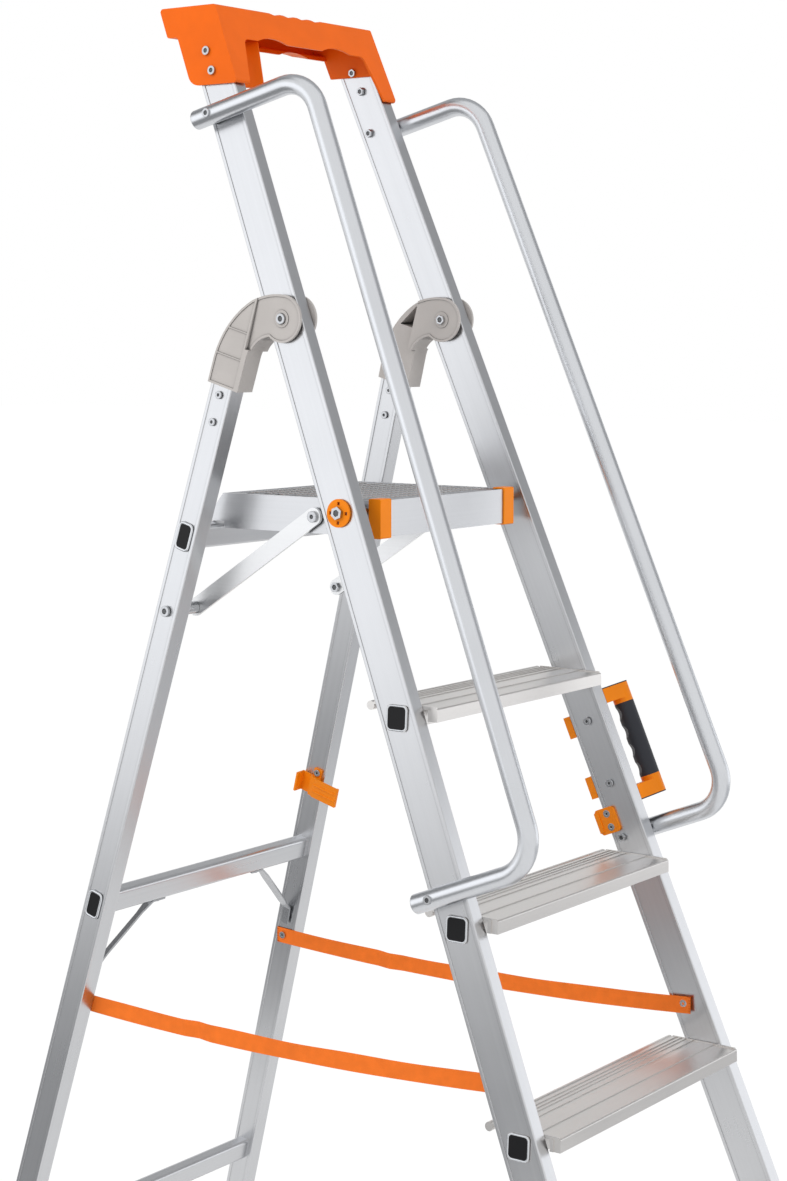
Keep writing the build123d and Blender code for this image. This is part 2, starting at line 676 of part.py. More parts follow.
strip_high_rivet = strip_plane * Pos(strip_tab_middle, -BAR_TALL / 2 - STRIP_THICK, 0) * Rot(90, 0, 0)
strip_high_rivet = strip_high_rivet * rivet(STRIP_THICK + BAR_WALL)
strip_rivets = group([strip_low_rivet, strip_high_rivet])
pair("bar_strip", strip - strip_rivets)
nodes["rear_bar_2"] -= both(strip_rivets)
nodes["strip_rivets"] = both(strip_rivets)
leg_bar -= strip_low_rivet


# Fork hinges at the top of the rear legs

fork_x = stile_x(HINGE_Z)
slot_out = fork_x + CHEEK_GAP
slot_in = fork_x - STILE_THICK * FLARE - CHEEK_GAP
fork_out = slot_out + CHEEK
fork_in = slot_in - CHEEK


def on_disc(angle):
    return DISC_OF_FORK * cos(radians(angle)), DISC_OF_FORK * sin(radians(angle))


def fork_outline():
    """Side view of a fork hinge, from the hinge bolt: x to the rear, y up the leg."""
    low_front = (FORK_FRONT, -FORK_LENGTH)
    neck = (FORK_FRONT, -FORK_NECK)
    under = on_disc(-FORK_UNDER)
    over = on_disc(FORK_OVER)
    shoulder = (FORK_SHOULDER, FORK_SHOULDER_HIGH)
    back = (FORK_BACK, FORK_BACK_TALL - FORK_LENGTH)
    low_back = (FORK_BACK, -FORK_LENGTH)
    edges = [
        Line(low_front, neck),
        TangentArc(neck, under, tangent=(0, 1)),
        ThreePointArc(under, on_disc(180), over),
        TangentArc(over, shoulder, tangent=(over[1], -over[0])),
        TangentArc(back, shoulder, tangent=(0, 1)),
        Line(back, low_back),
        Line(low_back, low_front),
    ]
    return make_face(edges)


def fork_panels(area):
    """Sunk panels on the outside of a fork's sleeve, parted by two ribs."""
    middle = (FORK_INNER_EDGE + FORK_BACK) / 2
    ribs = [Pos(middle, -drop) * Rectangle(FORK_BACK, FORK_GROOVE) for drop in FORK_PANELS]
    return offset(area, -FORK_RIM) - ribs


def fork():
    """Two cheeks beside the stile, with a sleeve that is square to the leg."""
    side = fork_outline()
    behind = flat_bar(FORK_INNER_EDGE, FORK_INNER_EDGE + RISE, -RISE, RISE)
    sleeve_area = side & (behind + flat_bar(0, FORK_INNER_EDGE + RISE, -RISE, -FORK_CHEEK_LOW))
    sleeve = slab(hinge, sleeve_area, 0, fork_out + RISE) & space_between(LEG_OUT + FORK_SKIN)
    sleeve -= slab(hinge, fork_panels(side & behind), 0, fork_out + RISE) - space_between(
        LEG_OUT + FORK_SKIN - FORK_SUNK
    )
    cheek_area = flat_bar(-RISE, FORK_INNER_EDGE + FORK_GROOVE, -FORK_CHEEK_LOW - FORK_GROOVE, RISE)
    cheeks = slab(hinge, side & cheek_area, fork_in, fork_out)
    face = (offset(side, -FORK_RIM) & cheek_area) - Circle(FORK_BOSS)
    for low in (fork_in, fork_out - FORK_SUNK):
        cheeks -= slab(hinge, face, low, low + FORK_SUNK)
    body = cheeks + (sleeve - space_between(LEG_OUT - LEG_THICK - FORK_LINING))
    swing = Pos(STILE_DEPTH / 2 + HINGE_AHEAD + STOP_GAP - RISE, 0) * Rectangle(2 * RISE, 4 * RISE)
    body -= slab(hinge, swing + Rot(0, 0, -FOLD) * swing, slot_in, slot_out)
    pocket = outline(
        (FORK_INNER_EDGE + FORK_GROOVE, FORK_POCKET_HIGH),
        (FORK_SHOULDER - FORK_GROOVE, FORK_POCKET_HIGH),
        (FORK_POCKET_BACK, -FORK_POCKET_LOW),
        (FORK_INNER_EDGE + FORK_GROOVE, -FORK_POCKET_LOW),
    )
    body -= slab(hinge, pocket, fork_in, slot_out)
    filled = RectangleRounded(LEG_DEPTH, LEG_THICK, RAIL_ROUND)
    body -= along_rail(leg, filled, LEG_THICK, -LEG_TOP - FORK_LENGTH, -LEG_TOP)
    room = Rectangle(
        LEG_DEPTH - 2 * RAIL_WALL - 2 * TONGUE_FIT, LEG_THICK - 2 * (RAIL_WALL + LIP_RISE) - 2 * TONGUE_FIT
    )
    return body + along_rail(leg, room, LEG_THICK, -LEG_TOP - TONGUE_LENGTH, -LEG_TOP + TONGUE_FIT)


hinge_bolt = slab(hinge, Circle(HINGE_SHANK), fork_in, fork_out - FORK_SEAT)
hinge_bolt += slab(hinge, Circle(HINGE_HEAD), fork_out - FORK_SEAT, fork_out - FORK_SEAT + HINGE_HEAD_TALL)
hinge_bolt += slab(hinge, RegularPolygon(HINGE_NUT, 6), fork_in - NUT_TALL, fork_in)
seat = slab(hinge, Circle(HINGE_HEAD + SIDE_PLAY), fork_out - FORK_SEAT, fork_out)
fork_rivets = group([leg * Pos(0, -place, 0) * rivet(LEG_THICK) for place in FORK_RIVETS])
pair("fork_hinge", fork() - seat - hinge_bolt - fork_rivets)
leg_bar -= fork_rivets
nodes["hinge_bolts"] = both(hinge_bolt)
nodes["fork_rivets"] = both(fork_rivets)

stile_filled = along_rail(
    stile, RectangleRounded(STILE_DEPTH, STILE_THICK, RAIL_ROUND), STILE_THICK, 0, STILE_TOP
)
bush = slab(hinge, Circle(BUSH_FLANGE), slot_in + SIDE_PLAY, slot_out - SIDE_PLAY) - stile_filled
bush += slab(hinge, Circle(HINGE_SHANK + RUNNING_FIT + BUSH_WALL), slot_in + SIDE_PLAY, slot_out - SIDE_PLAY)
bush -= slab(hinge, Circle(HINGE_SHANK + RUNNING_FIT), fork_in, fork_out)
stile_bar -= slab(hinge, Circle(HINGE_SHANK + RUNNING_FIT + BUSH_WALL), fork_in, fork_out)
nodes["hinge_bushes"] = both(bush)


# Handrails

rail_out = SADDLE + TUBE_DIAMETER / 2
rail_path = (
    stile
    * Pos(0, 0, rail_out)
    * FilletPolyline(
        (RAIL_BOLT_BACK + RAIL_TAIL, RAIL_TOP_BOLT + RAIL_TAIL * RAIL_TOP_SLOPE),
        (-RAIL_AHEAD, RAIL_TOP_BOLT - (RAIL_AHEAD + RAIL_BOLT_BACK) * RAIL_TOP_SLOPE),
        (-RAIL_AHEAD, RAIL_LOW_BOLT),
        (RAIL_BOLT_BACK + RAIL_TAIL, RAIL_LOW_BOLT),
        radius=RAIL_BEND,
    )
)
rail_start = Plane(origin=rail_path @ 0, z_dir=rail_path % 0)
rail_finish = Plane(origin=rail_path @ 1, z_dir=-(rail_path % 1))
rail_ring = Circle(TUBE_DIAMETER / 2) - Circle(TUBE_DIAMETER / 2 - TUBE_SKIN)
rail_tube = sweep(rail_start * rail_ring, path=rail_path)
rail_filled = sweep(rail_start * Circle(TUBE_DIAMETER / 2), path=rail_path)


def rail_cap(end):
    dome = Pos(0, 0, -RAIL_CAP) * Cylinder(TUBE_DIAMETER / 2, RAIL_CAP, align=LOW)
    dome = fillet(dome.edges().sort_by(Axis.Z)[:1], RAIL_CAP_ROUND)
    return end * (dome + Cylinder(TUBE_DIAMETER / 2 - TUBE_SKIN, RAIL_CAP_PLUG, align=LOW))


rail_bolts, saddles = [], []
for height in (RAIL_TOP_BOLT, RAIL_LOW_BOLT):
    seat_out = SADDLE + TUBE_DIAMETER - RAIL_BOLT_SUNK
    rail_bolts.append(stile * Pos(RAIL_BOLT_BACK, height, seat_out) * through_bolt(seat_out + STILE_THICK))
    pad = Pos(RAIL_BOLT_BACK, height, -LIP_RISE) * Box(SADDLE_LENGTH, SADDLE_WIDE, SADDLE_TALL, align=LOW)
    saddles.append(stile * pad)
rail_bolts = group(rail_bolts)
pair("handrail", rail_tube - rail_bolts)
nodes["handrail_saddles"] = both(group([pad - rail_filled - rail_bolts for pad in saddles]))
nodes["handrail_caps"] = both(group([rail_cap(rail_start), rail_cap(rail_finish)]))
nodes["handrail_bolts"] = both(rail_bolts)
stile_bar -= rail_bolts


# Head


def head_line(back, z):
    """Side-view point at a height z, a distance behind the stiles' centreline."""
    return FRONT_TAN * z + back / FRONT_COS, z


def head_side(skin, roof, low):
    """Side view of the head, from the platform pivot, drawn in by a skin and a roof."""
    top, step = HEAD_HIGH - roof, HEAD_HIGH - HEAD_STEP + skin
    points = [
        head_line(skin - HEAD_AHEAD, low),
        head_line(skin - HEAD_AHEAD, top),
        head_line(HEAD_OVERHANG - skin, top),
        head_line(HEAD_OVERHANG - skin, step),
        head_line(HEAD_BEHIND - skin, step),
        head_line(HEAD_BEHIND - skin, low),
    ]
    small = HEAD_EDGE_ROUND
    corner = HEAD_ROUND if skin == 0 else small
    return make_face(FilletPolyline(*points, radius=[small, small, small, small, small, corner], close=True))


def open_back():
    """Side view of the space behind the stiles below the beam, where the head has its outer walls alone."""
    top, low, far = HEAD_HIGH - BEAM_DEEP, HEAD_LOW - RISE, 2 * HEAD_OVERHANG
    return outline(head_line(0, low), head_line(0, top), head_line(far, top), head_line(far, low))


def head_opening():
    """Way through below the beam, seen from the front, with two humps in its top edge."""
    top = HEAD_HIGH - BEAM_DEEP
    half_top = stile_x(top) + HEAD_WALL - FLAP_TOP
    half_low = stile_x(HEAD_LOW) + HEAD_WALL - FLAP_LOW
    way = outline(
        (-half_low, HEAD_LOW - RISE),
        (half_low, HEAD_LOW - RISE),
        (half_low, HEAD_LOW),
        (half_top, top),
        (-half_top, top),
        (-half_low, HEAD_LOW),
    )
    way = fillet(way.vertices().group_by(Axis.Y)[-1], OPENING_ROUND)
    for side in (-1, 1):
        start, end = (side * HUMP_AT - HUMP_HALF, top), (side * HUMP_AT + HUMP_HALF, top)
        hump = ThreePointArc(start, (side * HUMP_AT, top + HUMP_RISE), end)
        way += make_face([hump, Line(end, start)])
    return way


front_view = Plane(origin=(0, PIVOT_Y, PIVOT_Z), x_dir=(1, 0, 0), z_dir=(0, -1, 0))
head = slab(pivot, head_side(0, 0, HEAD_LOW), -FAR, FAR) & space_between(HEAD_WALL)
hollow = head_side(HEAD_WALL, HEAD_ROOF, HEAD_LOW - RISE) + open_back()
hollow = slab(pivot, hollow, -FAR, FAR) & outside_rails
cheeks = inside_rails - space_between(-STILE_THICK - HEAD_WALL)
cheeks &= block(-FAR, FAR, -FAR, FAR, PIVOT_Z + CHEEK_LOW, PIVOT_Z + STILE_TOP)
head = head - (hollow - cheeks) - slab(front_view, head_opening(), -FAR, FAR)
head_front = FRONT_TAN * HEAD_HIGH - HEAD_AHEAD / FRONT_COS
for count in range(GRIP_WAVES):
    shift = (count - (GRIP_WAVES - 1) / 2) * GRIP_PITCH
    place = Pos(shift, PIVOT_Y + head_front, PIVOT_Z + HEAD_HIGH - GRIP_SUNK + GRIP_RADIUS)
    head -= place * Rot(90, 0, 0) * Cylinder(GRIP_RADIUS, 2 * GRIP_ALONG)
head_bolts = group([
    stile * Pos(0, HEAD_BOLT_HIGH, HEAD_WALL) * through_bolt(STILE_THICK + 2 * HEAD_WALL),
    stile * Pos(0, HEAD_BOLT_LOW, HEAD_WALL) * through_bolt(STILE_THICK + HEAD_WALL),
])
nodes["head"] = head - both(head_bolts)
nodes["head_bolts"] = both(head_bolts)
stile_bar -= head_bolts


# Carry handle on the right stile


def foot_sections():
    """Sections of a handle foot across the stile, x to the rear and y outward: base, tab, arm and sleeve."""
    half = STILE_DEPTH / 2
    base = flat_bar(-FOOT_BASE_AHEAD, half + FOOT_TAB, 0, FOOT_BASE_THICK)
    tab = flat_bar(half, half + FOOT_TAB, -STILE_THICK, FOOT_BASE_THICK)
    arm = outline(
        (-half, 0),
        (HANDLE_RADIUS, 0),
        (HANDLE_RADIUS - GRIP_AHEAD, GRIP_OUT),
        (-HANDLE_RADIUS - GRIP_AHEAD, GRIP_OUT),
    )
    return base, tab, arm, Pos(-GRIP_AHEAD, GRIP_OUT) * Circle(HANDLE_RADIUS)


def across(plane, sketch, low, high):
    """Extrudes a section up a rail, with the sketch's y axis pointing outward."""
    start = Plane(origin=plane.from_local_coords((0, high, 0)), x_dir=plane.x_dir, z_dir=-plane.y_dir)
    return extrude(start * sketch, amount=high - low)


handle_low = HANDLE_TOP - HANDLE_LENGTH
foot_spans = ((0, FOOT_BASE), (FOOT_BASE - FOOT_TAB_TALL, FOOT_BASE), (0, FOOT_ARM), (0, FOOT_TALL))
grip_place = stile * Pos(-GRIP_AHEAD, 0, GRIP_OUT)


def rod(radius, low, high):
    """Round bar along the handle."""
    return grip_place * Pos(0, low, 0) * Rot(-90, 0, 0) * Cylinder(radius, high - low, align=LOW)


core = rod(HANDLE_CORE, handle_low, HANDLE_TOP)
handle_screws = []
for name, outer, inward in (("upper", HANDLE_TOP, -1), ("lower", handle_low, 1)):
    pieces = []
    for section, (first, last) in zip(foot_sections(), foot_spans):
        low, high = sorted((outer + inward * first, outer + inward * last))
        pieces.append(across(stile, section, low, high))
    foot = Part() + pieces
    screw_at = outer + inward * HANDLE_SCREW_INSET
    screw = stile * Pos(0, screw_at, -STILE_THICK) * Rot(180, 0, 0)
    reach = STILE_THICK + FOOT_BASE_THICK / 2
    shank = Pos(0, 0, -reach) * Cylinder(BOLT_SHANK, reach, align=LOW)
    screw = screw * (Cylinder(BOLT_HEAD, BOLT_HEAD_TALL, align=LOW) + shank)
    handle_screws.append(screw)
    nodes[f"handle_foot_{name}"] = foot - core - screw
grip = rod(HANDLE_GRIP, handle_low + FOOT_TALL, HANDLE_TOP - FOOT_TALL) - core
finger_pitch = (HANDLE_LENGTH - 2 * FOOT_TALL) / FINGERS
for count in range(FINGERS):
    height = handle_low + FOOT_TALL + (count + 0.5) * finger_pitch
    place = Pos(0, height, 0) * Rot(0, -FINGER_TURN, 0) * Pos(0, 0, FINGER_SUNK - HANDLE_GRIP - FINGER_RADIUS)
    grip -= grip_place * place * Rot(0, 90, 0) * Cylinder(FINGER_RADIUS, 4 * HANDLE_RADIUS)
nodes["handle_grip"] = grip
nodes["handle_core"] = core
nodes["handle_screws"] = group(handle_screws)


# Catch plate on the right stile and latch clip on the right leg

catch_middle = CATCH_TOP - CATCH_TALL / 2
catch_base = RectangleRounded(CATCH_BACK - CATCH_FRONT, CATCH_TALL, CATCH_ROUND)
catch_base = Pos((CATCH_FRONT + CATCH_BACK) / 2, catch_middle) * catch_base
catch_ridge = Rectangle(CATCH_RIDGE_WIDE, CATCH_TALL - 2 * CATCH_ROUND)
catch_ridge = Pos(CATCH_BACK - CATCH_RIDGE_WIDE / 2, catch_middle) * catch_ridge
stile_inside = stile.offset(-STILE_THICK)
catch = slab(stile_inside, catch_base, -CATCH_THICK, 0)
catch += slab(stile_inside, catch_ridge, -CATCH_THICK - CATCH_RIDGE, -CATCH_THICK)
catch_pad = flat_bar(
    CATCH_FRONT, STILE_DEPTH / 2 - LIP_WIDTH, CATCH_ROUND + CATCH_TOP - CATCH_TALL, CATCH_TOP - CATCH_ROUND
)
catch += slab(stile_inside, catch_pad, 0, LIP_RISE)
catch_rivets = group([
    stile_inside * Pos(CATCH_RIVET_AT, place, CATCH_RIVET_SUNK - CATCH_THICK) * Rot(180, 0, 0)
    * rivet(CATCH_THICK - CATCH_RIVET_SUNK + LIP_RISE + RAIL_WALL)
    for place in (CATCH_TOP - CATCH_RIVET_INSET, CATCH_TOP - CATCH_TALL + CATCH_RIVET_INSET)
])
nodes["catch_plate"] = catch - catch_rivets
nodes["catch_rivets"] = catch_rivets

clip_face = -LEG_THICK - CLIP_STAND
clip_low = -CLIP_TOP - CLIP_TALL
clip_foot = LIP_WIDTH - LEG_DEPTH / 2 + CLIP_TAB_WIDE / 2


def latch_clip():
    """Springy plate that lies on the leg, steps off it and ends in a lip, with a finger and a screw tab."""
    on_leg, off_leg = -LEG_THICK - CLIP_PLATE, clip_face - CLIP_PLATE
    run = [
        (CLIP_BEHIND, on_leg - CLIP_FINGER),
        (CLIP_BEHIND, on_leg),
        (CLIP_FLAT, on_leg),
        (-CLIP_STEP, off_leg),
        (-CLIP_AHEAD, off_leg),
    ]
    plate = ribbon(run, CLIP_PLATE)
    plate += flat_bar(-CLIP_AHEAD, CLIP_PLATE - CLIP_AHEAD, clip_face, clip_face + CLIP_LIP)
    front, back = clip_foot - CLIP_TAB_WIDE / 2, clip_foot + CLIP_TAB_WIDE / 2
    foot = flat_bar(front, back, clip_face, LIP_RISE - LEG_THICK)
    tab = flat_bar(front, back, -LEG_THICK - CLIP_PLATE, LIP_RISE - LEG_THICK)
    clip = across(leg, plate + foot, clip_low, -CLIP_TOP)
    clip += across(leg, tab, -CLIP_TOP, CLIP_TAB_TALL - CLIP_TOP)
    for count in range(CLIP_RIBS):
        height = clip_low + CLIP_TALL * (count + 1) / (CLIP_RIBS + 1)
        rib = leg * Pos(-(CLIP_AHEAD + CLIP_STEP) / 2, height, off_leg)
        clip += rib * Rot(0, 90, 0) * Cylinder(CLIP_RIB, CLIP_AHEAD - CLIP_STEP)
    return clip


latch_screw = leg * Pos(clip_foot, CLIP_TAB_TALL / 2 - CLIP_TOP, -LEG_THICK - CLIP_PLATE) * Rot(180, 0, 0)
latch_screw = latch_screw * rivet(CLIP_PLATE + LIP_RISE + RAIL_WALL)
nodes["latch_clip"] = latch_clip() - latch_screw
nodes["latch_screw"] = latch_screw


# Straps between the stiles and the legs

strap_front = stile.from_local_coords((STRAP_FRONT_BACK, -STRAP_FRONT, -STILE_THICK - STRAP_GAP))
strap_rear = leg.from_local_coords((0, -STRAP_REAR, -LEG_THICK - STRAP_GAP))
strap_run = strap_rear - strap_front
strap_up = stile.z_dir.cross(strap_run)
strap_plane = Plane(origin=strap_front, x_dir=strap_run, z_dir=strap_run.cross(strap_up))


def strap_edge(height):
    """Sagging edge of a strap, at a height above its rivets."""
    middle = (strap_run.length / 2, height - STRAP_SAG)
    return ThreePointArc((-STRAP_END, height), middle, (strap_run.length + STRAP_END, height))


strap_top, strap_bottom = strap_edge(STRAP_WIDTH / 2), strap_edge(-STRAP_WIDTH / 2)
strap_ends = [Line(strap_top @ 0, strap_bottom @ 0), Line(strap_top @ 1, strap_bottom @ 1)]
strap = slab(strap_plane, make_face([strap_top, strap_bottom, *strap_ends]), -STRAP_THICK, 0)
strap_front_rivet = stile * Pos(STRAP_FRONT_BACK, -STRAP_FRONT, -STILE_THICK - STRAP_GAP - STRAP_THICK)
strap_front_rivet = strap_front_rivet * Rot(180, 0, 0) * rivet(STRAP_THICK + STRAP_GAP + LIP_RISE + RAIL_WALL)
strap_rear_rivet = leg * Pos(0, -STRAP_REAR, -LEG_THICK - 2 * STRAP_GAP - STRAP_THICK) * Rot(180, 0, 0)
strap_rear_rivet = strap_rear_rivet * rivet(STRAP_THICK + 2 * STRAP_GAP + LIP_RISE + RAIL_WALL)
strap_hole = leg * Pos(0, -STRAP_REAR, -LEG_THICK) * Cylinder(RIVET_SHANK + STRAP_GAP, LEG_THICK)
pair("strap", strap - strap_front_rivet - strap_hole)
nodes["strap_rivets_front"] = both(strap_front_rivet)
nodes["strap_rivets_rear"] = both(strap_rear_rivet)
stile_bar -= strap_front_rivet
leg_bar -= strap_rear_rivet


# Rails with their holes; only the right side carries the handle, the catch and the clip

nodes["front_stile_left"] = left_of(stile_bar)
nodes["front_stile_right"] = stile_bar - nodes["handle_screws"] - catch_rivets
nodes["rear_leg_left"] = left_of(leg_bar)
nodes["rear_leg_right"] = leg_bar - latch_screw

os.makedirs("parts", exist_ok=True)
for name, shape in nodes.items():
    export_step(shape, f"parts/{name}.step")
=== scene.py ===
"""Looks of a folding platform step ladder with two handrails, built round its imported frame."""

import json
import math

import bmesh
import bpy
from mathutils import Matrix, Vector

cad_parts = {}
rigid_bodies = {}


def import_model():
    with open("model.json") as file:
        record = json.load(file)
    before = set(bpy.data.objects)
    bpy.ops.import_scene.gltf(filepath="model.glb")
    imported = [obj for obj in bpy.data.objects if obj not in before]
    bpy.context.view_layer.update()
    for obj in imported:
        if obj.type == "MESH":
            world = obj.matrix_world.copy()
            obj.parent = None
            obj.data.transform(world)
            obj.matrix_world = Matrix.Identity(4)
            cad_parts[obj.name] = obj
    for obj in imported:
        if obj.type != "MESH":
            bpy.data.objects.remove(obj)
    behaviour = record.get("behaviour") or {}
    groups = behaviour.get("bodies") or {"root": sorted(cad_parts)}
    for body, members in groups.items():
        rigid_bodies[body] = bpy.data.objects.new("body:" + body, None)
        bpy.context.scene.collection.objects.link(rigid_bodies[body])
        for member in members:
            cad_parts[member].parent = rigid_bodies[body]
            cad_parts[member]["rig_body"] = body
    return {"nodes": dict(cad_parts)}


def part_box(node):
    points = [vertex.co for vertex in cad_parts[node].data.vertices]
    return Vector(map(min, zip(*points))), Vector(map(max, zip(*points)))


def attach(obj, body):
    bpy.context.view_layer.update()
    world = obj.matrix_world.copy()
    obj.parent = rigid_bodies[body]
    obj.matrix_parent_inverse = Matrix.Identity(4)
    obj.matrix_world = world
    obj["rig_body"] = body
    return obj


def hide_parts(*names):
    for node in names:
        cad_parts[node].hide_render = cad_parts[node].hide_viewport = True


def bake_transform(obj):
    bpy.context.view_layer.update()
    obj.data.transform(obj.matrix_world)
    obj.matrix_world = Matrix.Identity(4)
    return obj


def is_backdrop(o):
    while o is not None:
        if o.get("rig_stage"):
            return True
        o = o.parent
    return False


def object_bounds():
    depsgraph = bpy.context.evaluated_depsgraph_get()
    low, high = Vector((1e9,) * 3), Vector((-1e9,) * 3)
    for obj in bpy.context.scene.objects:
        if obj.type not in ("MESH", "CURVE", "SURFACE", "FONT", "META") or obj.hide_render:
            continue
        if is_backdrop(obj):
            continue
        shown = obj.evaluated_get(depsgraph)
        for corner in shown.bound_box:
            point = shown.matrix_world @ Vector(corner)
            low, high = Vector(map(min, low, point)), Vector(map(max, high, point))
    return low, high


bl_info = {
    "name": "Folding platform step ladder",
    "version": (1, 0, 0),
    "blender": (4, 5, 0),
    "location": "View3D > Sidebar > Ladder",
    "description": "Finishes, straps and studio stage for a folding platform step ladder",
    "category": "Object",
}

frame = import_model()
CAD_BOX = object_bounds()
NODES = frame["nodes"]

# The rails' lines, which the drawn finish of each extrusion follows, and the sign of x on each side
FRONT_LEAN = math.radians(22.0)
REAR_LEAN = math.radians(15.75)
SPLAY = 0.057
ACROSS = Vector((1, 0, 0))
FORE_AND_AFT = Vector((0, 1, 0))
SIDES = {"left": -1, "right": 1}

# Clean-up of the nodes' meshes: distance of merged corners, angles of flat neighbours and of crisp edges
SAME_PLACE = 0.00001
SAME_FACE = math.radians(3.0)
CRISP = math.radians(38.0)

# Faces at the end of a piece: how squarely they look along it, roughly or exactly, and how level they lie
SQUARE_ON = 0.9
FLUSH = 0.999
SAME_LEVEL = 0.0002

# Nose of a tread: depth that the solid closes, depth closed here and height
NOSE_DEEP = 0.0088
NOSE_CLOSED = 0.0135
NOSE_TALL = 0.0155

# Plates that close the tread noses and the ends of the carry handle
END_PLATE = 0.0014

# Studs of the platform's deck: their rows, the bare edge round them, and the size and facets of one
STUD_ROWS = 9
STUD_COLUMNS = 26
STUD_EDGE = 0.016
STUD_RADIUS = 0.0036
STUD_RISE = 0.0011
STUD_SIDES = 8
STUD_RINGS = 4

# Rolled edges: the radius on each kind of piece, and the length from which an edge of a rail is rolled
RAIL_EDGE = 0.0004
LONG_EDGE = 0.08
HANDLE_EDGE = 0.0005
CAP_EDGE = 0.0006
FORK_EDGE = 0.0006
BOLT_EDGE = 0.0006
GRIP_EDGE = 0.0008
HEAD_EDGE = 0.0011
SHOE_EDGE = 0.0012

# Fasteners with heads, and the sockets in them: shares of the head's radius for the rim round a socket and
# for its wall, its depth, and the share of the plating's brightness left inside it as painted shade
HEADED = ("bolts", "rivets", "screw", "brace_rivet")
BOLT_RIM = 0.5
RIVET_RIM = 0.64
SOCKET_WALL = 0.08
SOCKET_DEPTH = 0.0009
SOCKET_SHADE = 0.2

# Strips under the middle bar: section, flat tab, and the twist with its share at even steps of each stretch
STRIP_WIDTH = 0.0115
STRIP_THICK = 0.0025
STRIP_TAB = 0.024
STRIP_TWIST = math.radians(31.0)
STRIP_SHARES = ((0, 0), (0, 1, 1, 1, 1, 0), (0, 0))

# Straps: steps along and across them, the ripple with its wave along the length and its lean to one edge,
# and the crease, whose place and reach are shares of the length from the front
STRAP_STEPS = 96
STRAP_LANES = 6
RIPPLE = 0.0022
RIPPLE_WAVE = 23.0
RIPPLE_LEAN = 0.3
CREASE_AT = 0.70
CREASE_REACH = 0.03

# Bead at the catch plate's rear edge: radius and facets
CATCH_BEAD = 0.0021
CATCH_SIDES = 24

# Grip of the carry handle: what lies farther than this from its axis is its outside, which swells
GRIP_BORE = 0.0075
GRIP_SWELL = 0.001

# Beads on the rims of the treads and bars: steps round a corner and over a bead, radii, rise and corner
CORNER_STEPS = 6
BEAD_STEPS = 6
TREAD_BEAD = 0.0013
BAR_BEAD = 0.0017
BEAD_RISE = 0.0011
RIM_CORNER = 0.0055

# Black flanges of the plugs inside those rims: corner, height, lip and how far the middle is dished
PLUG_CORNER = 0.0038
PLUG_FLANGE = 0.0005
PLUG_LIP = 0.0012
PLUG_DISH = 0.0004

# Curved web inside the head, beside the left stile: its section across the foot, from the stile to the
# front wall, how far it leans and rises, its thickness, and the height in which the foot is looked for
WEB_SECTION = (
    (-0.003, 0.031), (0.007, 0.030), (0.017, 0.026), (0.025, 0.0195), (0.030, 0.012), (0.0325, 0.0045),
)
WEB_RISE = Vector((0.0165, 0.0234, 0.058))
WEB_THICK = 0.0028
WEB_FOOT = 0.004

# Finishes: spread of a drawn metal's die lines across and along it, cloudy patches to the metre, depth of
# each relief, grain of the rubber, and the gloss of matt pieces
FINE_LINES = (0.003, 0.003, 0.9)
BROAD_LINES = (0.012, 0.012, 1.5)
LINE_DEPTH = 0.00006
METAL_CLOUD = 9.0
ZINC_CLOUD = 420.0
ZINC_DEPTH = 0.0001
PLASTIC_CLOUD = 22.0
RUBBER_GRAIN = 0.0012
RUBBER_DEPTH = 0.00008
MATT_SPECULAR = 0.2

# Weave of the straps: pitch of the yarns in picks, selvedge as shares of the width, cloudy patches, relief
YARN_PITCH = 0.8
SELVEDGE = (0.40, 0.47)
CLOTH_CLOUD = 60.0
YARN_DEPTH = 0.0002

# Painted shade in corners: how far it reaches, its samples, and how dark it is at the rails' lips and in
# the forks
CORNER_REACH = 0.004
CORNER_SAMPLES = 8
LIP_SHADE = 0.5
FORK_SHADE = 0.68

# Studio: floor size and grey, how bright and how far the camera sees it white, tint of the sheets in the
# metal's reflections, the fill lamp's share of the key lamp, and the point that both lamps aim at
WHITE = (1, 1, 1, 1)
FLOOR_SIZE = 60.0
FLOOR_GREY = (0.86, 0.86, 0.86, 1)
FLOOR_GLOW = 1.08
FLOOR_WHITE = 0.85
FLAG_TINT = (0.97, 0.98, 1.0, 1)
FILL_SHARE = 0.95
LAMP_AIM = Vector((0, 0, 1.0))

# The photograph's frame in pixels, and the lens that fits it
PHOTO_WIDE = 787
PHOTO_TALL = 1181
FOCAL_PIXELS = 2358.27
CENTRE_PIXEL = (386.56, 570.16)
SENSOR = 36.0


def rail_line(side, lean):
    """Direction up a rail: side is 1 on the climber's right and -1 on the left."""
    return Vector((-side * SPLAY, math.tan(lean), 1)).normalized()


def node_names(*starts):
    """Names of the nodes that begin with any of the given words."""
    return [name for name in sorted(NODES) if name.startswith(starts)]


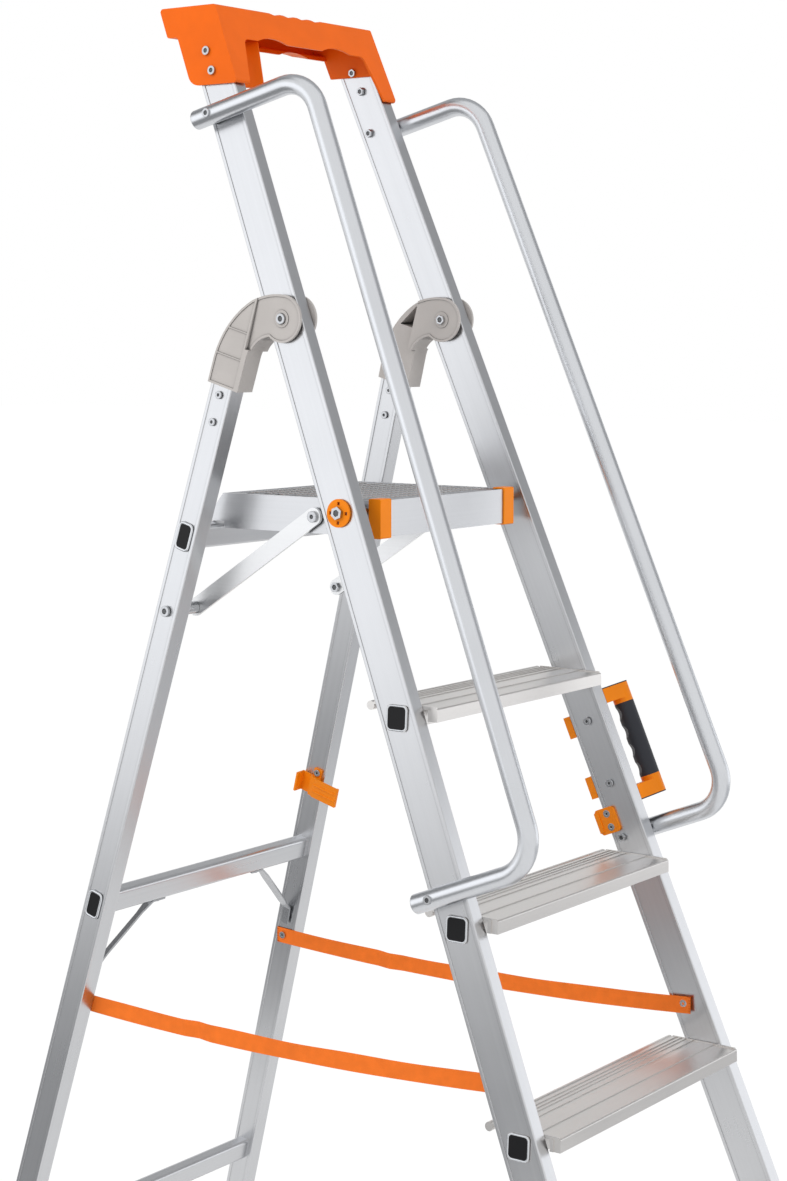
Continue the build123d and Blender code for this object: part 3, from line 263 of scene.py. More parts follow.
class LadderFinishes(bpy.types.PropertyGroup):
    """Colours and gloss of the ladder's materials."""

    aluminium: bpy.props.FloatVectorProperty(
        name="Aluminium", description="Colour of the satin extrusions", subtype="COLOR", size=3,
        default=(0.61, 0.617, 0.632), min=0, max=1,
    )
    tread: bpy.props.FloatVectorProperty(
        name="Treads", description="Colour of the treads and the deck's studs", subtype="COLOR", size=3,
        default=(0.69, 0.672, 0.654), min=0, max=1,
    )
    tube: bpy.props.FloatVectorProperty(
        name="Handrails", description="Colour of the handrail tubes and the bright rims",
        subtype="COLOR", size=3, default=(0.66, 0.675, 0.70), min=0, max=1,
    )
    zinc: bpy.props.FloatVectorProperty(
        name="Fasteners", description="Colour of the plated bolts and rivets", subtype="COLOR", size=3,
        default=(0.50, 0.508, 0.524), min=0, max=1,
    )
    brace: bpy.props.FloatVectorProperty(
        name="Braces", description="Colour of the flat braces under the platform", subtype="COLOR", size=3,
        default=(0.78, 0.785, 0.79), min=0, max=1,
    )
    orange: bpy.props.FloatVectorProperty(
        name="Orange mouldings", description="Colour of the head", subtype="COLOR", size=3,
        default=(0.88, 0.142, 0.003), min=0, max=1,
    )
    amber: bpy.props.FloatVectorProperty(
        name="Amber mouldings", description="Colour of the caps, discs, handle feet, catch and clip",
        subtype="COLOR", size=3, default=(0.93, 0.25, 0.004), min=0, max=1,
    )
    casting: bpy.props.FloatVectorProperty(
        name="Fork hinges", description="Colour of the grey fork hinges", subtype="COLOR", size=3,
        default=(0.53, 0.50, 0.48), min=0, max=1,
    )
    rubber: bpy.props.FloatVectorProperty(
        name="Rubber", description="Colour of the grip and the shoes", subtype="COLOR", size=3,
        default=(0.036, 0.038, 0.046), min=0, max=1,
    )
    plug: bpy.props.FloatVectorProperty(
        name="Plugs", description="Colour of the plugs and small black mouldings", subtype="COLOR", size=3,
        default=(0.008, 0.008, 0.009), min=0, max=1,
    )
    webbing: bpy.props.FloatVectorProperty(
        name="Straps", description="Colour of the woven straps", subtype="COLOR", size=3,
        default=(0.98, 0.205, 0.023), min=0, max=1,
    )
    satin: bpy.props.FloatProperty(
        name="Satin roughness", description="Roughness of the stiles, legs and bars", subtype="FACTOR",
        default=0.28, min=0, max=1,
    )


class LadderStraps(bpy.types.PropertyGroup):
    """Sizes of the two webbing straps."""

    width: bpy.props.FloatProperty(
        name="Width", description="Width of the webbing", unit="LENGTH", default=0.021,
    )
    thick: bpy.props.FloatProperty(
        name="Thickness", description="Thickness of the webbing", unit="LENGTH", default=0.0014,
    )
    sag: bpy.props.FloatProperty(
        name="Sag", description="How far the middle hangs below the rivets", unit="LENGTH", default=0.012,
    )
    crease: bpy.props.FloatProperty(
        name="Crease", description="Depth of the fold near the rear leg", unit="LENGTH", default=0.004,
    )
    pick: bpy.props.FloatProperty(
        name="Weave pitch", description="Distance between the woven ribs", unit="LENGTH", default=0.0016,
    )


class LadderStage(bpy.types.PropertyGroup):
    """Studio floor, light and camera."""

    camera_at: bpy.props.FloatVectorProperty(
        name="Camera", description="Place of the camera", subtype="TRANSLATION", unit="LENGTH", size=3,
        default=(-2.4082, -1.7383, 1.3768),
    )
    azimuth: bpy.props.FloatProperty(
        name="Azimuth", description="Turn of the view round the ladder", subtype="ANGLE", unit="ROTATION",
        default=math.radians(-53.662),
    )
    pitch: bpy.props.FloatProperty(
        name="Pitch", description="How far the view looks down", subtype="ANGLE", unit="ROTATION",
        default=math.radians(5.777),
    )
    daylight: bpy.props.FloatProperty(
        name="Room light", description="Strength of the light from all round", default=0.72, min=0,
    )
    mirrored: bpy.props.FloatProperty(
        name="Mirrored room", description="How bright the room looks in polished metal", default=1.0, min=0,
    )
    key: bpy.props.FloatProperty(
        name="Key lamp", description="Power of the soft lamp at the left", unit="POWER",
        default=40.0, min=0,
    )


def coloured(colour, share):
    """A colour with its brightness taken times a share, as a shader socket wants it."""
    return (*(channel * share for channel in colour), 1.0)


class Field:
    """A shader socket that takes part in ordinary arithmetic."""

    def __init__(self, tree, socket):
        self.tree = tree
        self.socket = socket

    def node(self, kind, settings=None, sockets=None, output=0):
        """Adds any node: its settings first, then the values or links of its sockets."""
        made = self.tree.nodes.new(kind)
        for name, value in (settings or {}).items():
            setattr(made, name, value)
        for name, value in (sockets or {}).items():
            if isinstance(value, Field):
                self.tree.links.new(value.socket, made.inputs[name])
            else:
                made.inputs[name].default_value = value
        return Field(self.tree, made.outputs[output]) if made.outputs else None

    def maths(self, operation, first, second=0.0):
        """Adds a Math node."""
        return self.node("ShaderNodeMath", {"operation": operation}, {0: first, 1: second})

    def __add__(self, other):
        return self.maths("ADD", self, other)

    __radd__ = __add__

    def __sub__(self, other):
        return self.maths("SUBTRACT", self, other)

    def __rsub__(self, other):
        return self.maths("SUBTRACT", other, self)

    def __mul__(self, other):
        return self.maths("MULTIPLY", self, other)

    __rmul__ = __mul__

    def sine(self):
        return self.maths("SINE", self)

    def size(self):
        """This value without its sign."""
        return self.maths("ABSOLUTE", self)

    def largest(self, other):
        return self.maths("MAXIMUM", self, other)

    def between(self, low, high):
        """Smooth step that goes from 0 to 1 while this value goes from low to high."""
        return self.node(
            "ShaderNodeMapRange", {"interpolation_type": "SMOOTHSTEP"},
            {"Value": self, "From Min": low, "From Max": high},
        )

    def blend(self, colour_a, colour_b):
        """Mixes two colours with this value as the share of the second."""
        return self.node("ShaderNodeMix", {"data_type": "RGBA"}, {0: self, 6: colour_a, 7: colour_b}, 2)

    def mottle(self, colour, dark, light, spread):
        """A colour that drifts from a darker to a lighter shade as this value passes its middle."""
        drift = self.between(0.5 - spread, 0.5 + spread)
        return drift.blend(coloured(colour, dark), coloured(colour, light))

    def parts(self):
        """The three values of these coordinates."""
        split = self.node("ShaderNodeSeparateXYZ", None, {0: self})
        return [Field(self.tree, output) for output in split.socket.node.outputs]

    def along(self, line, grain):
        """These coordinates in a frame whose third axis is a line, divided by a grain for each axis."""
        turn = Vector(line).to_track_quat("Z", "Y").to_euler()
        return self.node(
            "ShaderNodeMapping", {"vector_type": "TEXTURE"},
            {"Vector": self, "Rotation": turn, "Scale": grain},
        )

    def noise(self, scale=1.0, detail=2.0):
        """Cloudy noise read at these coordinates."""
        return self.node("ShaderNodeTexNoise", None, {"Vector": self, "Scale": scale, "Detail": detail})

    def bump(self, distance, strength):
        """A normal that follows this value as a relief."""
        return self.node(
            "ShaderNodeBump", None, {"Strength": strength, "Distance": distance, "Height": self}
        )

    def shade_corners(self, base, colour, painted_shade, open_from):
        """A base colour with painted shade: it darkens by a share in the corners of the piece that ambient
        occlusion finds.
        """
        open_sky = self.node(
            "ShaderNodeAmbientOcclusion", {"samples": CORNER_SAMPLES, "only_local": True},
            {"Distance": CORNER_REACH}, "AO",
        )
        return open_sky.between(open_from, 1.0).blend(coloured(colour, 1 - painted_shade), base)


def surface(name, source="Object"):
    """An empty material and the coordinates that its pattern reads."""
    material = bpy.data.materials.new(name)
    material.use_nodes = True
    tree = material.node_tree
    tree.nodes.clear()
    places = tree.nodes.new("ShaderNodeTexCoord")
    return material, Field(tree, places.outputs[source])


def finish_surface(field, sockets):
    """Ends a material with one principled shader."""
    shader = field.node("ShaderNodeBsdfPrincipled", None, sockets)
    field.node("ShaderNodeOutputMaterial", None, {"Surface": shader})


def drawn_metal(name, line, colour, roughness, streak=0.012, relief=0.03, painted_shade=0.0):
    """Extruded or drawn aluminium, with fine die lines along its length, faint handling marks and any
    painted shade in its corners.
    """
    material, place = surface(name)
    fine = place.along(line, FINE_LINES).noise(detail=1.0)
    broad = place.along(line, BROAD_LINES).noise(detail=1.0)
    cloud = place.noise(scale=METAL_CLOUD, detail=3.0)
    lines = fine * 0.6 + broad * 0.4
    base = (lines * 0.5 + cloud * 0.5).mottle(colour, dark=0.975, light=1.02, spread=0.15)
    # Painted shade: the base colour darkens in the rail's corners and along its lips
    if painted_shade:
        base = place.shade_corners(base, colour, painted_shade, open_from=0.6)
    finish_surface(place, {
        "Base Color": base,
        "Metallic": 1.0,
        "Roughness": (lines - 0.5) * (2 * streak) + (cloud - 0.5) * 0.03 + roughness,
        "Normal": lines.bump(LINE_DEPTH, relief),
    })
    return material


def plated(name, colour):
    """Zinc plated steel, bright with soft cloudy patches."""
    material, place = surface(name)
    cloud = place.noise(scale=ZINC_CLOUD, detail=3.0)
    finish_surface(place, {
        "Base Color": cloud.mottle(colour, dark=0.88, light=1.04, spread=0.15),
        "Metallic": 1.0,
        "Roughness": cloud * 0.14 + 0.14,
        "Normal": cloud.bump(ZINC_DEPTH, strength=0.25),
    })
    return material


def moulded(name, colour, roughness, grain=0.0007, depth=0.00004, painted_shade=0.0):
    """Moulded plastic or a coated casting: a fine spark-eroded grain, and any painted shade in its corners.
    """
    material, place = surface(name)
    fine = place.noise(scale=1.0 / grain)
    cloud = place.noise(scale=PLASTIC_CLOUD, detail=3.0)
    base = cloud.mottle(colour, dark=0.955, light=1.02, spread=0.2)
    # Painted shade: the base colour darkens in the piece's corners
    if painted_shade:
        base = place.shade_corners(base, colour, painted_shade, open_from=0.45)
    finish_surface(place, {
        "Base Color": base,
        "Roughness": (fine - 0.5) * 0.1 + (cloud - 0.5) * 0.08 + roughness,
        "Specular IOR Level": MATT_SPECULAR,
        "Normal": fine.bump(depth, strength=0.5),
    })
    return material


def rubber_finish(name, colour, roughness):
    """Moulded rubber, with a coarser grain than the plastics have."""
    return moulded(name, colour, roughness, RUBBER_GRAIN, RUBBER_DEPTH)


def woven(name, colour, width, pick):
    """Polyester webbing on the strap's own map: ribs across it, twisted yarns and a firm selvedge."""
    material, place = surface(name, "UV")
    run, side, _ = place.parts()
    ribs = (run * (math.tau / pick)).sine()
    yarns = (side * (math.tau / (pick * YARN_PITCH))).sine()
    over = (ribs * yarns) * 0.5 + 0.5
    edge = (side - width / 2).size().between(*(width * share for share in SELVEDGE))
    cloud = place.noise(scale=CLOTH_CLOUD, detail=3.0)
    finish_surface(place, {
        "Base Color": (over * 0.35 + cloud * 0.65).mottle(colour, dark=0.86, light=1.05, spread=0.25),
        "Roughness": 0.82 - over * 0.1 - edge * 0.06,
        "Specular IOR Level": MATT_SPECULAR,
        "Normal": (over + edge * 0.6).bump(YARN_DEPTH, strength=0.55),
    })
    return material


def dress(names, material):
    """Gives nodes that keep their own mesh a finish."""
    for name in names:
        for slot in NODES[name].material_slots:
            slot.material = material


def clean_shape(name):
    """A node's own mesh, with its corners merged and its flat neighbours joined to whole faces."""
    made = bmesh.new()
    made.from_mesh(NODES[name].data)
    bmesh.ops.remove_doubles(made, verts=made.verts, dist=SAME_PLACE)
    bmesh.ops.dissolve_limit(made, angle_limit=SAME_FACE, verts=made.verts, edges=made.edges)
    return made


def round_edges(made, width, segments=2, shortest=0.0):
    """Rolls the crisp edges of a shape, or the long ones alone."""
    crisp = [
        edge for edge in made.edges
        if edge.is_manifold and edge.calc_face_angle() > CRISP and edge.calc_length() > shortest
    ]
    bmesh.ops.bevel(
        made, geom=crisp, offset=width, offset_type="OFFSET", segments=segments, profile=0.5,
        affect="EDGES", clamp_overlap=True, material=-1,
    )


def thicken(made, thickness):
    """Turns a sheet of faces into a plate."""
    bmesh.ops.recalc_face_normals(made, faces=made.faces)
    bmesh.ops.solidify(made, geom=made.faces[:], thickness=thickness)


def only_verts(made):
    """The vertices in what an operator has made."""
    return [part for part in made["geom"] if isinstance(part, bmesh.types.BMVert)]


def outermost_faces(made, way):
    """The flat faces that lie farthest out in a direction and face it, and how far out they lie."""
    facing = [face for face in made.faces if face.normal.dot(way) > FLUSH]
    reach = max(face.calc_center_median().dot(way) for face in facing)
    return [face for face in facing if face.calc_center_median().dot(way) > reach - SAME_LEVEL], reach


def object_from(made, name, material):
    """Turns a shape into an object of the scene."""
    mesh = bpy.data.meshes.new(name)
    made.to_mesh(mesh)
    made.free()
    mesh.materials.append(material)
    piece = bpy.data.objects.new(name, mesh)
    bpy.context.scene.collection.objects.link(piece)
    return piece


def add_piece(made, name, material, carrier):
    """Adds a shape as a smooth piece that rides on the body of the node that carries it."""
    bmesh.ops.recalc_face_normals(made, faces=made.faces)
    for face in made.faces:
        face.smooth = True
    piece = object_from(made, name, material)
    piece.data.set_sharp_from_angle(angle=CRISP)
    weights = piece.modifiers.new("weighted_normals", "WEIGHTED_NORMAL")
    weights.keep_sharp = True
    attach(piece, NODES[carrier]["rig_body"])
    return piece


def stand_in(made, name, material, *more):
    """Puts a finished shape in the place of a node, on the node's own body."""
    piece = add_piece(made, f"{name}_finished", material, name)
    for other in more:
        piece.data.materials.append(other)
    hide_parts(name)


def soften(names, width, material, segments=2):
    """Stands a copy with rolled edges in the place of each node."""
    for name in names:
        made = clean_shape(name)
        round_edges(made, width, segments)
        stand_in(made, name, material)


def islands(made):
    """The groups of faces of a shape that hang together."""
    left = dict.fromkeys(made.faces)
    while left:
        waiting = [left.popitem()[0]]
        group = []
        while waiting:
            face = waiting.pop()
            group.append(face)
            near = [other for edge in face.edges for other in edge.link_faces if other in left]
            for other in dict.fromkeys(near):
                del left[other]
                waiting.append(other)
        yield group


def sink_heads(made, rim):
    """Presses a socket into both ends of each bolt or rivet across the ladder; its inner faces take painted
    shade.
    """
    made.normal_update()
    for faces in list(islands(made)):
        for side in (1, -1):
            ends = [face for face in faces if face.normal.x * side > SQUARE_ON]
            if ends:
                end = max(ends, key=lambda face: face.calc_center_median().x * side)
                radius = math.sqrt(end.calc_area() / math.pi)
                bmesh.ops.inset_individual(made, faces=[end], thickness=radius * rim)
                walls = bmesh.ops.inset_individual(
                    made, faces=[end], thickness=radius * SOCKET_WALL, depth=-SOCKET_DEPTH
                )
                # The socket's floor and walls take the second material, painted shade
                for face in [end, *walls["faces"]]:
                    face.material_index = 1


def ring_of_edges(made, place, wide, tall, corner):
    """A closed run of edges round a rectangle with round corners, in the plane of a matrix."""
    points = []
    for turn, (right, up) in enumerate(((1, 1), (-1, 1), (-1, -1), (1, -1))):
        middle = Vector((right * (wide / 2 - corner), up * (tall / 2 - corner), 0))
        for step in range(CORNER_STEPS + 1):
            angle = (turn + step / CORNER_STEPS) * math.pi / 2
            points.append(middle + corner * Vector((math.cos(angle), math.sin(angle), 0)))
    corners = [made.verts.new(place @ point) for point in points]
    return [made.edges.new(ends) for ends in zip(corners, corners[1:] + corners[:1])]


def bead(made, place, wide, tall, corner, radius):
    """A half-round bead round a rectangle with round corners."""
    loops = []
    for step in range(BEAD_STEPS + 1):
        angle = math.pi * step / BEAD_STEPS
        out = radius * math.cos(angle)
        rise = Matrix.Translation((0, 0, BEAD_RISE * math.sin(angle)))
        loops.append(ring_of_edges(made, place @ rise, wide + 2 * out, tall + 2 * out, corner + out))
    for inner, outer in zip(loops, loops[1:]):
        bmesh.ops.bridge_loops(made, edges=inner + outer)


def rim_places(name, lean):
    """Plane, width and height of the flat rim at each end of a tread or bar that goes through the rails."""
    shape = clean_shape(name)
    shape.normal_update()
    for side in (1, -1):
        facing = Vector((side, 0, SPLAY)).normalized()
        level = Vector((0, math.cos(lean), math.sin(lean)))
        ahead = (level - facing * level.dot(facing)).normalized()
        upward = facing.cross(ahead)
        faces, reach = outermost_faces(shape, facing)
        points = [vert.co for face in faces for vert in face.verts]
        middle = facing * reach
        spans = []
        for axis in (ahead, upward):
            low = min(point.dot(axis) for point in points)
            high = max(point.dot(axis) for point in points)
            middle += (low + high) / 2 * axis
            spans.append(high - low)
        place = Matrix.Translation(middle) @ Matrix((ahead, upward, facing)).transposed().to_4x4()
        yield place, *spans
    shape.free()


def rims(names, lean, radius, material):
    """Rounds the rims of treads or bars with a bead that stands on the flat rim."""
    for name in names:
        made = bmesh.new()
        for place, wide, tall in rim_places(name, lean):
            bead(made, place, wide - 2 * radius, tall - 2 * radius, RIM_CORNER, radius)
        add_piece(made, f"{name}_rims", material, name)


def plug_faces(names, lean, margin, material):
    """Puts the dished black flange of a plug inside the rim at each end of a tread or bar."""
    for name in names:
        made = bmesh.new()
        for place, wide, tall in rim_places(name, lean):
            ring = ring_of_edges(made, place, wide - 2 * margin, tall - 2 * margin, PLUG_CORNER)
            back = bmesh.ops.contextual_create(made, geom=ring)["faces"]
            front = bmesh.ops.extrude_discrete_faces(made, faces=back)["faces"]
            outward = place.col[2].to_3d()
            bmesh.ops.translate(made, vec=outward * PLUG_FLANGE, verts=front[0].verts[:])
            made.normal_update()
            bmesh.ops.inset_individual(made, faces=front, thickness=PLUG_LIP)
            bmesh.ops.translate(made, vec=-outward * PLUG_DISH, verts=front[0].verts[:])
        add_piece(made, f"{name}_flanges", material, name)


class RailsOperator(bpy.types.Operator):
    """Gives the front stiles and rear legs their extruded finish."""

    bl_idname = "ladder.rails"
    bl_label = "Stiles and legs"

    def execute(self, context):
        looks = context.scene.ladder_finishes
        for word, side in SIDES.items():
            for name, lean in ((f"front_stile_{word}", FRONT_LEAN), (f"rear_leg_{word}", -REAR_LEAN)):
                line = rail_line(side, lean)
                # The lips' corners get painted shade
                satin = drawn_metal(f"{name}_satin", line, looks.aluminium, looks.satin, painted_shade=LIP_SHADE)
                made = clean_shape(name)
                round_edges(made, RAIL_EDGE, shortest=LONG_EDGE)
                stand_in(made, name, satin)
        return {"FINISHED"}


class TreadsOperator(bpy.types.Operator):
    """Gives the treads, rear bars and their plugs their finish, rims and closed ends."""

    bl_idname = "ladder.treads"
    bl_label = "Treads and bars"

    def execute(self, context):
        looks = context.scene.ladder_finishes
        treads = [name for name in node_names("tread_") if name != "tread_plugs"]
        bars = node_names("rear_bar_")
        tread = drawn_metal("tread_satin", ACROSS, looks.tread, roughness=0.34)
        dress(treads, tread)
        dress(bars, drawn_metal("bar_satin", ACROSS, looks.aluminium, looks.satin))
        rim = drawn_metal("rim_bright", ACROSS, looks.tube, roughness=0.24, streak=0.01)
        rims(treads, 0.0, TREAD_BEAD, rim)
        rims(bars, REAR_LEAN, BAR_BEAD, rim)
        for name in treads:
            self.closed_ends(name, tread)
        plug = moulded("plug_black", looks.plug, roughness=0.38)
        dress(["tread_plugs", "bar_plugs"], plug)
        plug_faces(treads, 0.0, 2 * TREAD_BEAD, plug)
        plug_faces(bars, REAR_LEAN, 2 * BAR_BEAD, plug)
        return {"FINISHED"}

    def closed_ends(self, name, material):
        """Plates that close a tread's nose at both ends, from the nose back to the stile."""
        low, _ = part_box(name)
        nose = [vert.co for vert in NODES[name].data.vertices if vert.co.y < low.y + NOSE_DEEP]
        foot = min(point.z for point in nose)
        reach = max(point.x for point in nose)
        outline = ((NOSE_DEEP, 0), (NOSE_CLOSED, 0), (NOSE_CLOSED, NOSE_TALL), (NOSE_DEEP, NOSE_TALL))
        made = bmesh.new()
        for side in (1, -1):
            made.faces.new([
                made.verts.new((side * (reach - rise * SPLAY), low.y + ahead, foot + rise))
                for ahead, rise in outline
            ])
        thicken(made, END_PLATE)
        add_piece(made, f"{name}_ends", material, name)


class PlatformOperator(bpy.types.Operator):
    """Gives the platform, its braces, caps and pivot discs their finish, and the deck its studs."""

    bl_idname = "ladder.platform"
    bl_label = "Platform"

    def execute(self, context):
        looks = context.scene.ladder_finishes
        dress(["platform_deck"], drawn_metal("deck_satin", ACROSS, looks.aluminium, roughness=0.36))
        rail = drawn_metal("platform_rail_satin", FORE_AND_AFT, looks.aluminium, roughness=0.3)
        dress(node_names("platform_rail_"), rail)
        brace = drawn_metal("brace_satin", FORE_AND_AFT, looks.brace, roughness=0.34)
        dress(["brace_left", "brace_right"], brace)
        caps = moulded("cap_amber", looks.amber, roughness=0.42)
        soften([*node_names("platform_cap_"), "pivot_discs"], CAP_EDGE, caps)
        self.studs(drawn_metal("stud_satin", ACROSS, looks.tread, roughness=0.3))
        return {"FINISHED"}

    def studs(self, material):
        """Staggered rows of pressed studs that make the deck's top grip the foot."""
        low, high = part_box("platform_deck")
        wide = high.x - low.x - 2 * STUD_EDGE
        deep = high.y - low.y - 2 * STUD_EDGE
        flat = Matrix.Diagonal((STUD_RADIUS, STUD_RADIUS, STUD_RISE, 1))
        made = bmesh.new()
        for row in range(STUD_ROWS):
            stagger = (row % 2 - 0.5) / 2
            for column in range(STUD_COLUMNS):
                at = (
                    low.x + STUD_EDGE + wide * ((column + 0.5 + stagger) / STUD_COLUMNS),
                    low.y + STUD_EDGE + deep * (row + 0.5) / STUD_ROWS,
                    high.z,
                )
                place = Matrix.Translation(at) @ flat
                bmesh.ops.create_uvsphere(
                    made, u_segments=STUD_SIDES, v_segments=STUD_RINGS, radius=1, matrix=place
                )
        add_piece(made, "deck_studs", material, "platform_deck")


class HandrailsOperator(bpy.types.Operator):
    """Gives the bent-tube handrails, their caps and saddles their finish."""

    bl_idname = "ladder.handrails"
    bl_label = "Handrails"

    def execute(self, context):
        looks = context.scene.ladder_finishes
        for word, side in SIDES.items():
            line = rail_line(side, FRONT_LEAN)
            tube = drawn_metal(f"tube_{word}", line, looks.tube, roughness=0.29, streak=0.01, relief=0.02)
            dress([f"handrail_{word}"], tube)
        dress(["handrail_caps"], drawn_metal("rail_cap_satin", ACROSS, looks.tube, roughness=0.36))
        dress(["handrail_saddles", "hinge_bushes"], moulded("saddle_black", looks.plug, roughness=0.45))
        return {"FINISHED"}


class HeadOperator(bpy.types.Operator):
    """Gives the moulded head its finish and its inner web."""

    bl_idname = "ladder.head"
    bl_label = "Head"

    def execute(self, context):
        looks = context.scene.ladder_finishes
        orange = moulded("head_orange", looks.orange, roughness=0.44)
        soften(["head"], HEAD_EDGE, orange, segments=3)
        self.web(orange)
        return {"FINISHED"}

    def web(self, material):
        """Curved inner web beside the left stile, from the head's foot up into its beam."""
        low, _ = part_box("head")
        foot = [vert.co for vert in NODES["head"].data.vertices if vert.co.z < low.z + WEB_FOOT]
        edge = max(point.x for point in foot if point.x < 0)
        made = bmesh.new()
        corners = [made.verts.new((edge + inward, low.y + back, low.z)) for inward, back in WEB_SECTION]
        run = [made.edges.new(ends) for ends in zip(corners, corners[1:])]
        upper = bmesh.ops.extrude_edge_only(made, edges=run)
        bmesh.ops.translate(made, vec=WEB_RISE, verts=only_verts(upper))
        thicken(made, WEB_THICK)
        add_piece(made, "head_web", material, "head")


class ForkHingesOperator(bpy.types.Operator):
    """Gives the fork hinges their finish."""

    bl_idname = "ladder.fork_hinges"
    bl_label = "Fork hinges"

    def execute(self, context):
        looks = context.scene.ladder_finishes
        # The forks' corners and panel edges get painted shade
        grey = moulded("hinge_grey", looks.casting, roughness=0.45, painted_shade=FORK_SHADE)
        soften(node_names("fork_hinge_"), FORK_EDGE, grey)
        return {"FINISHED"}


class CarryHandleOperator(bpy.types.Operator):
    """Gives the carry handle, the catch plate and the latch clip their finish."""

    bl_idname = "ladder.carry_handle"
    bl_label = "Carry handle and latch"

    def execute(self, context):
        looks = context.scene.ladder_finishes
        amber = moulded("handle_amber", looks.amber, roughness=0.4)
        soften([*node_names("handle_foot_"), "catch_plate", "latch_clip"], HANDLE_EDGE, amber)
        rubber = rubber_finish("grip_rubber", looks.rubber, roughness=0.5)
        self.grip(rubber)
        self.catch_bead(amber)
        for name, way in (("handle_foot_upper", 1), ("handle_foot_lower", -1)):
            self.end_plate(name, way * rail_line(1, FRONT_LEAN), rubber)
        return {"FINISHED"}

    def grip(self, material):
        """The rubber grip, as full as the sleeves at its ends."""
        line = rail_line(1, FRONT_LEAN)
        core = [vert.co for vert in NODES["handle_core"].data.vertices]
        middle = sum(core, Vector()) / len(core)
        made = clean_shape("handle_grip")
        for vert in made.verts:
            out = (vert.co - middle) - line * (vert.co - middle).dot(line)
            if out.length > GRIP_BORE:
                vert.co += out * (GRIP_SWELL / out.length)
        round_edges(made, GRIP_EDGE)
        stand_in(made, "handle_grip", material)

    def catch_bead(self, material):
        """Rolled bead along the rear edge of the catch plate."""
        line = rail_line(1, FRONT_LEAN)
        behind = Vector((0, math.cos(FRONT_LEAN), -math.sin(FRONT_LEAN)))
        points = [vert.co for vert in NODES["catch_plate"].data.vertices]
        rear = max(point.dot(behind) for point in points)
        edge = [point for point in points if point.dot(behind) > rear - SAME_LEVEL]
        middle = sum(edge, Vector()) / len(edge)
        span = max(point.dot(line) for point in edge) - min(point.dot(line) for point in edge)
        made = bmesh.new()
        bmesh.ops.create_cone(
            made, cap_ends=True, segments=CATCH_SIDES, radius1=CATCH_BEAD, radius2=CATCH_BEAD, depth=span,
            matrix=Matrix.Translation(middle) @ line.to_track_quat("Z", "Y").to_matrix().to_4x4(),
        )
        round_edges(made, CATCH_BEAD / 3)
        add_piece(made, "catch_bead", material, "catch_plate")

    def end_plate(self, name, way, material):
        """Black plate on the outer end of a handle foot, with the foot's own outline there."""
        made = clean_shape(name)
        made.normal_update()
        kept, _ = outermost_faces(made, way)
        bmesh.ops.delete(made, geom=[face for face in made.faces if face not in kept], context="FACES")
        thicker = bmesh.ops.extrude_face_region(made, geom=made.faces[:])
        bmesh.ops.translate(made, vec=way * END_PLATE, verts=only_verts(thicker))
        add_piece(made, f"{name}_plate", material, name)


class ShoesOperator(bpy.types.Operator):
    """Gives the four shoes their finish."""

    bl_idname = "ladder.shoes"
    bl_label = "Shoes"

    def execute(self, context):
        looks = context.scene.ladder_finishes
        rubber = rubber_finish("shoe_rubber", looks.rubber, roughness=0.55)
        soften(node_names("front_shoe_", "rear_shoe_"), SHOE_EDGE, rubber)
        return {"FINISHED"}


def strip_piece(word, side, material):
    """A flat strip from under the middle bar to the leg, twisted between its flat ends."""
    name = f"bar_strip_{word}"
    low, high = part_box(name)
    inner, outer = (low.x, high.x) if side > 0 else (high.x, low.x)
    fall = high.z - low.z
    lean = math.tan(REAR_LEAN)
    top_y = low.y + (high.y - low.y - fall * lean) / 2
    top_z = high.z - STRIP_THICK
    run = [
        Vector((inner, top_y, top_z)),
        Vector((inner + side * STRIP_TAB, top_y, top_z)),
        Vector((outer - side * 2 * STRIP_THICK, top_y + (fall - STRIP_TAB) * lean, low.z + STRIP_TAB)),
        Vector((outer - side * STRIP_THICK, top_y + fall * lean, low.z)),
    ]
    stations = []
    for start, end, shares in zip(run, run[1:], STRIP_SHARES):
        for step, share in enumerate(shares):
            tilt = REAR_LEAN - share * STRIP_TWIST
            edge = Vector((0, math.cos(tilt), math.sin(tilt))) * STRIP_WIDTH / 2
            stations.append((start.lerp(end, step / (len(shares) - 1)), edge))
    last = len(stations) - 1
    made = bmesh.new()
    bmesh.ops.create_grid(made, x_segments=last, y_segments=2, size=0.5)
    for vert in made.verts:
        middle, edge = stations[round((vert.co.x + 0.5) * last)]
        vert.co = middle + edge * (2 * vert.co.y)
    bmesh.ops.remove_doubles(made, verts=made.verts, dist=SAME_PLACE)
    thicken(made, STRIP_THICK)
    stand_in(made, name, material)


class FastenersOperator(bpy.types.Operator):
    """Gives the bolts, rivets, spacers and strips their plated finish."""

    bl_idname = "ladder.fasteners"
    bl_label = "Fasteners"

    def execute(self, context):
        looks = context.scene.ladder_finishes
        bright = plated("zinc_bright", looks.zinc)
        # A darkened copy of the plating for the sockets' inner faces: painted shade
        dark = plated("zinc_painted_socket_shade", [channel * SOCKET_SHADE for channel in looks.zinc])
        dress(["brace_spacers", "pivot_spacers", "brace_studs", "handle_core"], bright)
        for name in sorted(NODES):
            if any(word in name for word in HEADED):
                made = clean_shape(name)
                sink_heads(made, BOLT_RIM if "bolts" in name else RIVET_RIM)
                round_edges(made, BOLT_EDGE, segments=3)
                stand_in(made, name, bright, dark)
        for word, side in SIDES.items():
            strip_piece(word, side, bright)
        return {"FINISHED"}


